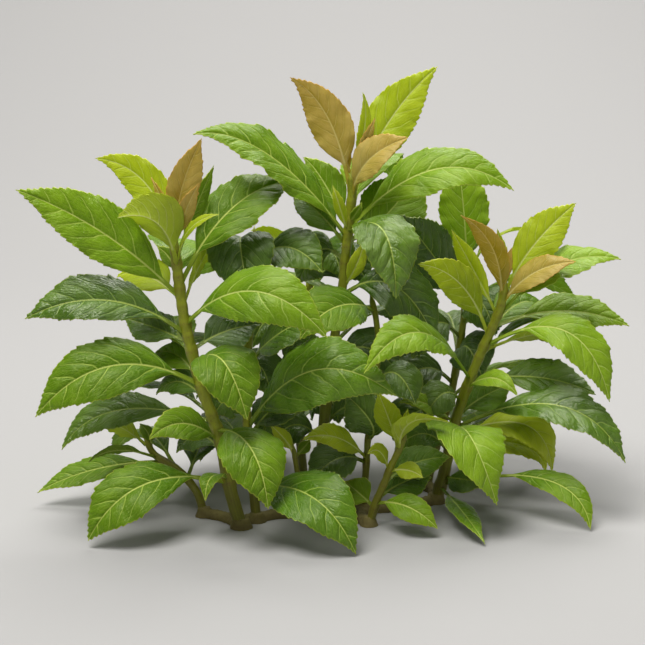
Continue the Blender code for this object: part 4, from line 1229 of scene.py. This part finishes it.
        SmallLeaf(12, (34, -16, 17), (45, -10, 17), 16, 4, (0.1, -0.7, 0.7), DEEP),
        SmallLeaf(18, (37, -14, 24), (53, -8, 25), 15, 5, (0.1, -0.7, 0.7), DEEP),
        SmallLeaf(24, (23, -28, 33), (18, -31, 33), 7, 3, (0, -0.7, 0.7), LIME),
        SmallLeaf(24, (34, -30, 26), (40, -34, 24), 8, 3, (0, -0.8, 0.6), LIME),
        SmallLeaf(33, (27, -28, 45), (22, -29, 58), 11, 5, (-0.4, -0.8, 0.4), LIME),
        SmallLeaf(33, (35, -33, 47), (50, -38, 48), 14, 4, (-0.1, 0.5, 0.8), LIME),
        SmallLeaf(38, (33, -28, 46), (34, -29, 51), 4, 2, (0.3, -0.8, 0.3), LIME),
    )),
    "tuft": Stem(1.1, 0.9, ((-11, -10, 0), (-10, -13, 15), (-11, -15, 25), (-12, -16, 32)), (
        SmallLeaf(27, (-8, -13, 30), (-5, -10, 33), 5, 2, (0.2, -0.8, 0.4), GREEN),
        SmallLeaf(28, (-15, -18, 35), (-21, -20, 42), 6, 3, (-0.2, -0.8, 0.4), LIME),
    )),
    "inner": Stem(1.4, 1.1, (
        (17, -4, 0), (18, -5, 19), (19, -4, 35), (21, -2, 52), (23, 0, 68), (22, 2, 81), (20, 3, 90),
    ), (
        SmallLeaf(22, (6, -14, 26), (-5, -20, 17), 19, 5, (-0.1, -0.7, 0.7), DARK),
        SmallLeaf(24, (5, -20, 37), (-8, -28, 38), 12, 5, (0, -0.75, 0.65), LIME),
        SmallLeaf(31, (20, -10, 40), (9, -8, 52), 19, 4, (-0.2, -0.9, 0.4), DARK),
        SmallLeaf(85, (5, -18, 90), (-9, -28, 79), 24, 5, (-0.1, -0.8, 0.6), GREEN),
        SmallLeaf(54, (30, -6, 60), (38, -12, 48), 16, 5, (0.2, -0.8, 0.5), DARK),
    )),
}

# How single leaves differ. Their lightness is partly their own tone and partly painted light and shade: raised
# on leaves that lie in shade or shine, lowered on leaves that the lamps light strongly.
HABITS = {
    "left_01": Habit(tone_and_light=-1.0),
    "left_03": Habit(tone_and_light=-0.2),
    "left_04": Habit(curl=0.34, tone_and_light=-0.3),
    "left_07": Habit(curl=0.34, wave=1.3, tone_and_light=-0.7),
    "left_10": Habit(curl=0.32, tone_and_light=-0.7),
    "left_13": Habit(wave=2.0, lean=0.10, tone_and_light=0.1),
    "left_14": Habit(fold=0.14, curl=0.34, tone_and_light=-0.4),
    "left_16": Habit(wave=1.3, lean=0.06, tone_and_light=0.8),
    "left_19": Habit(wave=1.2, tone_and_light=-0.7),
    "left_21": Habit(fold=0.75, curl=0.10, tone_and_light=0.8),
    "left_23": Habit(wave=1.6, tone_and_light=0.5),
    "left_25": Habit(fold=0.40, tone_and_light=0.3),
    "centre_09": Habit(wave=1.5, tone_and_light=-0.1),
    "centre_11": Habit(wave=1.5, tone_and_light=1.0),
    "centre_12": Habit(wave=1.4, tone_and_light=0.1),
    "centre_15": Habit(wave=1.3, tone_and_light=0.6),
    "centre_16": Habit(wave=1.4, tone_and_light=0.1),
    "centre_17": Habit(fold=0.40, tone_and_light=0.8),
    "mid_left_01": Habit(tone_and_light=-0.8),
    "mid_left_04": Habit(fold=0.12, curl=0.32, tone_and_light=0.1),
    "centre_08": Habit(wave=1.3, tone_and_light=0.4),
    "right_05": Habit(tone_and_light=1.0),
    "right_06": Habit(tone_and_light=1.0),
    "right_07": Habit(tone_and_light=0.3),
    "right_08": Habit(wave=1.6, tone_and_light=0.4),
    "right_12": Habit(wave=1.5, tone_and_light=1.0),
    "right_13": Habit(fold=0.36, curl=0.40, tone_and_light=0.0),
    "right_16": Habit(wave=1.3, tone_and_light=0.9),
    "right_18": Habit(wave=1.3, tone_and_light=0.9),
    "right_19": Habit(wave=1.5, tone_and_light=0.5),
    "right_23": Habit(wave=1.3, tone_and_light=0.4),
    "back_right_06": Habit(fold=0.36, wave=1.4, tone_and_light=1.0),
}


@dataclass
class Rootstock:
    """The creeping stem base, cut off flat, with a knob under each stem and runners between them.

    Attributes:
        height: of a knob.
        crown: the stem that stands on the crown, the widest knob.
        crown_radius: of the crown at the cut.
        knob_spread: how much wider than its stem another knob is at the cut.
        knob_rim: how much wider it is at its top.
        runner_radius: of a runner.
        runner_height: of its axis.
        runner_bow: how far it bends sideways.
        runner_node: the length from one of its old nodes to the next.
        voxel: how finely the parts are grown together.
        below: how far they reach under the cut, before it.
        roughness: how far the skin goes in and out.
        runners: the stems that each runner joins.
    """

    height: float = 4.0
    crown: str = "centre"
    crown_radius: float = 9.0
    knob_spread: float = 2.2
    knob_rim: float = 0.7
    runner_radius: float = 3.1
    runner_height: float = 0.3
    runner_bow: float = 2.5
    runner_node: float = 6.5
    voxel: float = 0.55
    below: float = 3.0
    roughness: float = 0.10
    runners: tuple[tuple[str, str], ...] = (
        ("centre", "tuft"), ("tuft", "mid_left"), ("mid_left", "left"), ("left", "back_left"),
        ("centre", "back_centre"), ("centre", "inner"), ("inner", "front"), ("inner", "right"),
        ("right", "back_right"),
    )

    UP = np.array((0.0, 0.0, 1.0))
    SIDES = 20
    KNOB_RINGS = 7
    RUNNER_PITCH = 0.8
    SHARP = 60.0

    def ring(self, centre: np.ndarray, along: np.ndarray, radius: float) -> np.ndarray:
        """Gives a ring of points round a centre, square to a direction."""
        first = unit(np.cross((0, 1, 0.01), along))
        second = np.cross(along, first)
        turns = np.arange(self.SIDES)[:, None] * 2 * np.pi / self.SIDES
        return centre + radius * (np.cos(turns) * first + np.sin(turns) * second)

    def knob(self, stem: Stem, low: float) -> np.ndarray:
        """Gives the rings of the low cone under a stem, which is low wide at the cut."""
        x, y = stem.points[0][:2]
        rings = [self.ring(np.array((x, y, -self.below)), self.UP, low)]
        for rise in np.linspace(0, 1, self.KNOB_RINGS):
            radius = low + (stem.foot_radius + self.knob_rim - low) * rise**0.7
            rings.append(self.ring(np.array((x, y, self.height * rise)), self.UP, radius))
        return np.array(rings)

    def runner(self, start: Stem, end: Stem) -> np.ndarray:
        """Gives the rings of an arm between two stems, with the low rings of its old nodes."""
        a, b = (np.array((*stem.points[0][:2], self.runner_height), float) for stem in (start, end))
        sideways = unit(np.cross(b - a, self.UP))
        span = np.linalg.norm(b - a)
        rings = []
        for part in np.linspace(0.04, 0.96, int(span / self.RUNNER_PITCH)):
            centre = a + (b - a) * part + sideways * self.runner_bow * np.sin(np.pi * part)
            slope = unit(b - a + sideways * self.runner_bow * np.pi * np.cos(np.pi * part))
            off_node = (part * span / self.runner_node) % 1 - 0.5
            radius = self.runner_radius * (0.97 + 0.10 * np.exp(-((off_node / 0.10) ** 2)))
            rings.append(self.ring(centre, slope, radius))
        return np.array(rings)

    def build(self, name: str, stems: dict[str, Stem]) -> bpy.types.Object:
        """Makes the rootstock as one skin, grown together and cut off flat.

        Args:
            name: its name.
            stems: the stems that stand on it.

        Returns:
            The object.
        """
        lumps = []
        for key, stem in stems.items():
            low = self.crown_radius if key == self.crown else stem.foot_radius + self.knob_spread
            lumps.append(self.knob(stem, low))
        lumps += [self.runner(stems[start], stems[end]) for start, end in self.runners]
        work = bmesh.new()
        for rings in lumps:
            part = skin("lump", rings, rings[-1].mean(axis=0), {})
            work.from_mesh(part.data)
            bpy.data.objects.remove(part)
        mesh = bpy.data.meshes.new(name)
        work.to_mesh(mesh)
        work.free()
        made = put(name, mesh)
        grow = made.modifiers.new("grow", "REMESH")
        grow.mode = "VOXEL"
        grow.voxel_size = self.voxel * MM
        settle = made.modifiers.new("settle", "SMOOTH")
        settle.factor = 0.5
        settle.iterations = 3
        evaluated = made.evaluated_get(bpy.context.evaluated_depsgraph_get())
        whole = bpy.data.meshes.new_from_object(evaluated)
        made.modifiers.clear()
        made.data = whole
        self.roughen(whole)
        self.cut(whole)
        whole.shade_smooth()
        whole.set_sharp_from_angle(angle=np.radians(self.SHARP))
        return made

    def roughen(self, mesh: bpy.types.Mesh) -> None:
        """Pushes the skin in and out along its normals, as worn bark does."""
        points = np.array([vertex.co for vertex in mesh.vertices], float)
        normals = np.array([vertex.normal for vertex in mesh.vertices])
        x, y, z = points.T / MM
        rough = np.sin(1.9 * x + np.sin(1.1 * y)) * np.sin(2.2 * y + 0.8 * z) + 0.6 * np.sin(3.7 * x + 1.3 * z)
        points += normals * (self.roughness * rough * MM)[:, None]
        mesh.vertices.foreach_set("co", points.ravel())

    def cut(self, mesh: bpy.types.Mesh) -> None:
        """Cuts the skin off flat at the ground and closes it, and marks its heights for the shader."""
        work = bmesh.new()
        work.from_mesh(mesh)
        everything = work.verts[:] + work.edges[:] + work.faces[:]
        made = bmesh.ops.bisect_plane(
            work, geom=everything, dist=1e-6, plane_co=(0, 0, 0), plane_no=self.UP, clear_inner=True,
        )
        rim = [piece for piece in made["geom_cut"] if isinstance(piece, bmesh.types.BMEdge)]
        bmesh.ops.contextual_create(work, geom=rim)
        bmesh.ops.recalc_face_normals(work, faces=work.faces)
        work.to_mesh(mesh)
        work.free()
        marks = np.array([(vertex.co.z / MM, 0, 0) for vertex in mesh.vertices], np.float32)
        mesh.attributes.new("skin", "FLOAT_VECTOR", "POINT").data.foreach_set("vector", marks.ravel())


@dataclass(frozen=True)
class Light:
    """A square soft light.

    Attributes:
        place: where it hangs, in mm.
        size: its side, in metres.
        power: in watts.
        colour: of its light.
    """

    place: Point
    size: float
    power: float
    colour: Colour = (1.0, 0.99, 0.97)


@dataclass
class Studio:
    """The plain floor, the soft lights and the camera.

    Attributes:
        floor_size: its side, in metres.
        floor_colour: its colour.
        sweep_start: how far behind the plant it begins to rise.
        sweep_radius: of the curve in which it does.
        sweep_height: how high it ends.
        camera_place: in mm.
        camera_target: what the camera looks at, in mm.
        camera_angle: its field of view, in degrees.
        light_target: what the lights point at, in mm.
        lights: by name.
        air: the colour of the even light from all round.
        air_strength: how strong that is.
    """

    floor_size: float = 24.0
    floor_colour: Colour = (0.355, 0.350, 0.346)
    sweep_start: float = 0.45
    sweep_radius: float = 0.90
    sweep_height: float = 3.0
    camera_place: Point = (0.0, -733.6, 235.9)
    camera_target: Point = (0.0, 0.0, 80.0)
    camera_angle: float = 20.0
    light_target: Point = (0.0, 0.0, 90.0)
    lights: dict[str, Light] = field(default_factory=lambda: {
        "key_light": Light((-420, -520, 1720), 1.00, 43.0, (1.0, 0.99, 0.965)),
        "fill_light": Light((820, -720, 420), 0.90, 1.6),
        "back_light": Light((200, 620, 1100), 0.70, 14.0),
    })
    air: Colour = (1.0, 0.99, 0.97)
    air_strength: float = 0.16

    BELOW = 0.0001
    SWEEP_STEPS = 24
    NEAREST = 0.01

    def build(self) -> None:
        """Lays the floor, hangs the lights and places the camera."""
        self.lay_floor()
        self.light_air()
        for name, light in self.lights.items():
            self.hang(name, light)
        self.place_camera()

    def lay_floor(self) -> None:
        """Makes the floor, which sweeps up into a backdrop far behind, a little lower than the cut."""
        half = self.floor_size / 2
        profile = [(-half, 0.0), (self.sweep_start, 0.0)]
        for angle in np.linspace(0, np.pi / 2, self.SWEEP_STEPS + 1)[1:]:
            rise = self.sweep_radius * (1 - np.cos(angle))
            profile.append((self.sweep_start + self.sweep_radius * np.sin(angle), rise))
        profile.append((profile[-1][0], self.sweep_height))
        points = [(x, y, z - self.BELOW) for y, z in profile for x in (-half, half)]
        faces = [(i, i + 1, i + 3, i + 2) for i in range(0, len(points) - 2, 2)]
        mesh = bpy.data.meshes.new("floor")
        mesh.from_pydata(points, [], faces)
        mesh.shade_smooth()
        material, graph, out = new_material("floor")
        shader = graph.add("ShaderNodeBsdfPrincipled", {
            "Base Color": self.floor_colour, "Roughness": 0.9, "Specular IOR Level": 0.1,
        })
        graph.feed(out, shader.outputs[0])
        mesh.materials.append(material)
        put("floor", mesh)

    def light_air(self) -> None:
        """Sets the even light that comes from all round."""
        world = bpy.data.worlds.new("studio")
        bpy.context.scene.world = world
        world.use_nodes = True
        back = world.node_tree.nodes["Background"]
        back.inputs["Color"].default_value = (*self.air, 1.0)
        back.inputs["Strength"].default_value = self.air_strength
        bpy.context.scene.view_settings.view_transform = "Standard"

    def aim(self, made: bpy.types.Object, place: Point, target: Point) -> None:
        """Puts a light or the camera in its place, in mm, and turns it to its target."""
        made.location = Vector(place) * MM
        made.rotation_euler = (Vector(target) - Vector(place)).to_track_quat("-Z", "Y").to_euler()

    def hang(self, name: str, light: Light) -> None:
        """Hangs one of the lights."""
        lamp = bpy.data.lights.new(name, "AREA")
        lamp.shape = "SQUARE"
        lamp.size = light.size
        lamp.energy = light.power
        lamp.color = light.colour
        self.aim(put(name, lamp), light.place, self.light_target)

    def place_camera(self) -> None:
        """Places the camera and makes it the scene's own."""
        camera = bpy.data.cameras.new("camera")
        camera.angle = np.radians(self.camera_angle)
        camera.clip_start = self.NEAREST
        made = put("camera", camera)
        self.aim(made, self.camera_place, self.camera_target)
        bpy.context.scene.camera = made


@dataclass
class Clump:
    """The whole plant: its rootstock, and its stems with their leaves."""

    stems: dict[str, Stem]
    rootstock: Rootstock = field(default_factory=Rootstock)

    def __post_init__(self) -> None:
        """Makes the materials."""
        leaf_pattern, bark_pattern = LeafPattern(), BarkPattern()
        self.leaf_materials = {
            tone: (finish.upper(tone.value, leaf_pattern), finish.lower(tone.value, leaf_pattern))
            for tone, finish in LEAF_FINISHES.items()
        }
        self.stem_material = STEM_FINISH.material("stem_skin", bark_pattern)
        self.root_material = ROOT_FINISH.material("root_skin", bark_pattern)

    def take_over(self, piece: bpy.types.Object, node: str, slot: str, *materials: bpy.types.Material) -> None:
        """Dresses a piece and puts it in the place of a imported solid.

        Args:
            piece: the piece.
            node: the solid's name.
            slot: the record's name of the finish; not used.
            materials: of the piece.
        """
        for material in materials:
            piece.data.materials.append(material)
        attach(piece, BODY)
        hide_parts(node)
        log.info("%s: %d faces, for %s", piece.name, len(piece.data.polygons), node)

    def build(self) -> None:
        """Builds and dresses every piece, from the ground up."""
        root = self.rootstock.build("creeping_base", self.stems)
        self.take_over(root, "rootstock", "rootstock", self.root_material)
        for key, stem in self.stems.items():
            self.take_over(stem.build(f"{key}_stalk"), f"stem_{key}", "stem", self.stem_material)
            for number, leaf in enumerate(stem.leaves, start=1):
                leaf = replace(leaf, habit=HABITS.get(f"{key}_{number:02d}", Habit()))
                made = leaf.build(f"{key}_blade_{number:02d}", stem.axis, LEAF_FINISHES[leaf.tone])
                node = f"stem_{key}" if leaf.fused else f"leaf_{key}_{number:02d}"
                self.take_over(made, node, leaf.tone.value, *self.leaf_materials[leaf.tone])


def main() -> None:
    """Builds the studio and the plant."""
    logging.basicConfig(level=logging.INFO, format="%(name)s: %(message)s")
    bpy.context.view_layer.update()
    Studio().build()
    Clump(STEMS).build()
    bpy.context.view_layer.update()


if __name__ == "__main__":
    main()
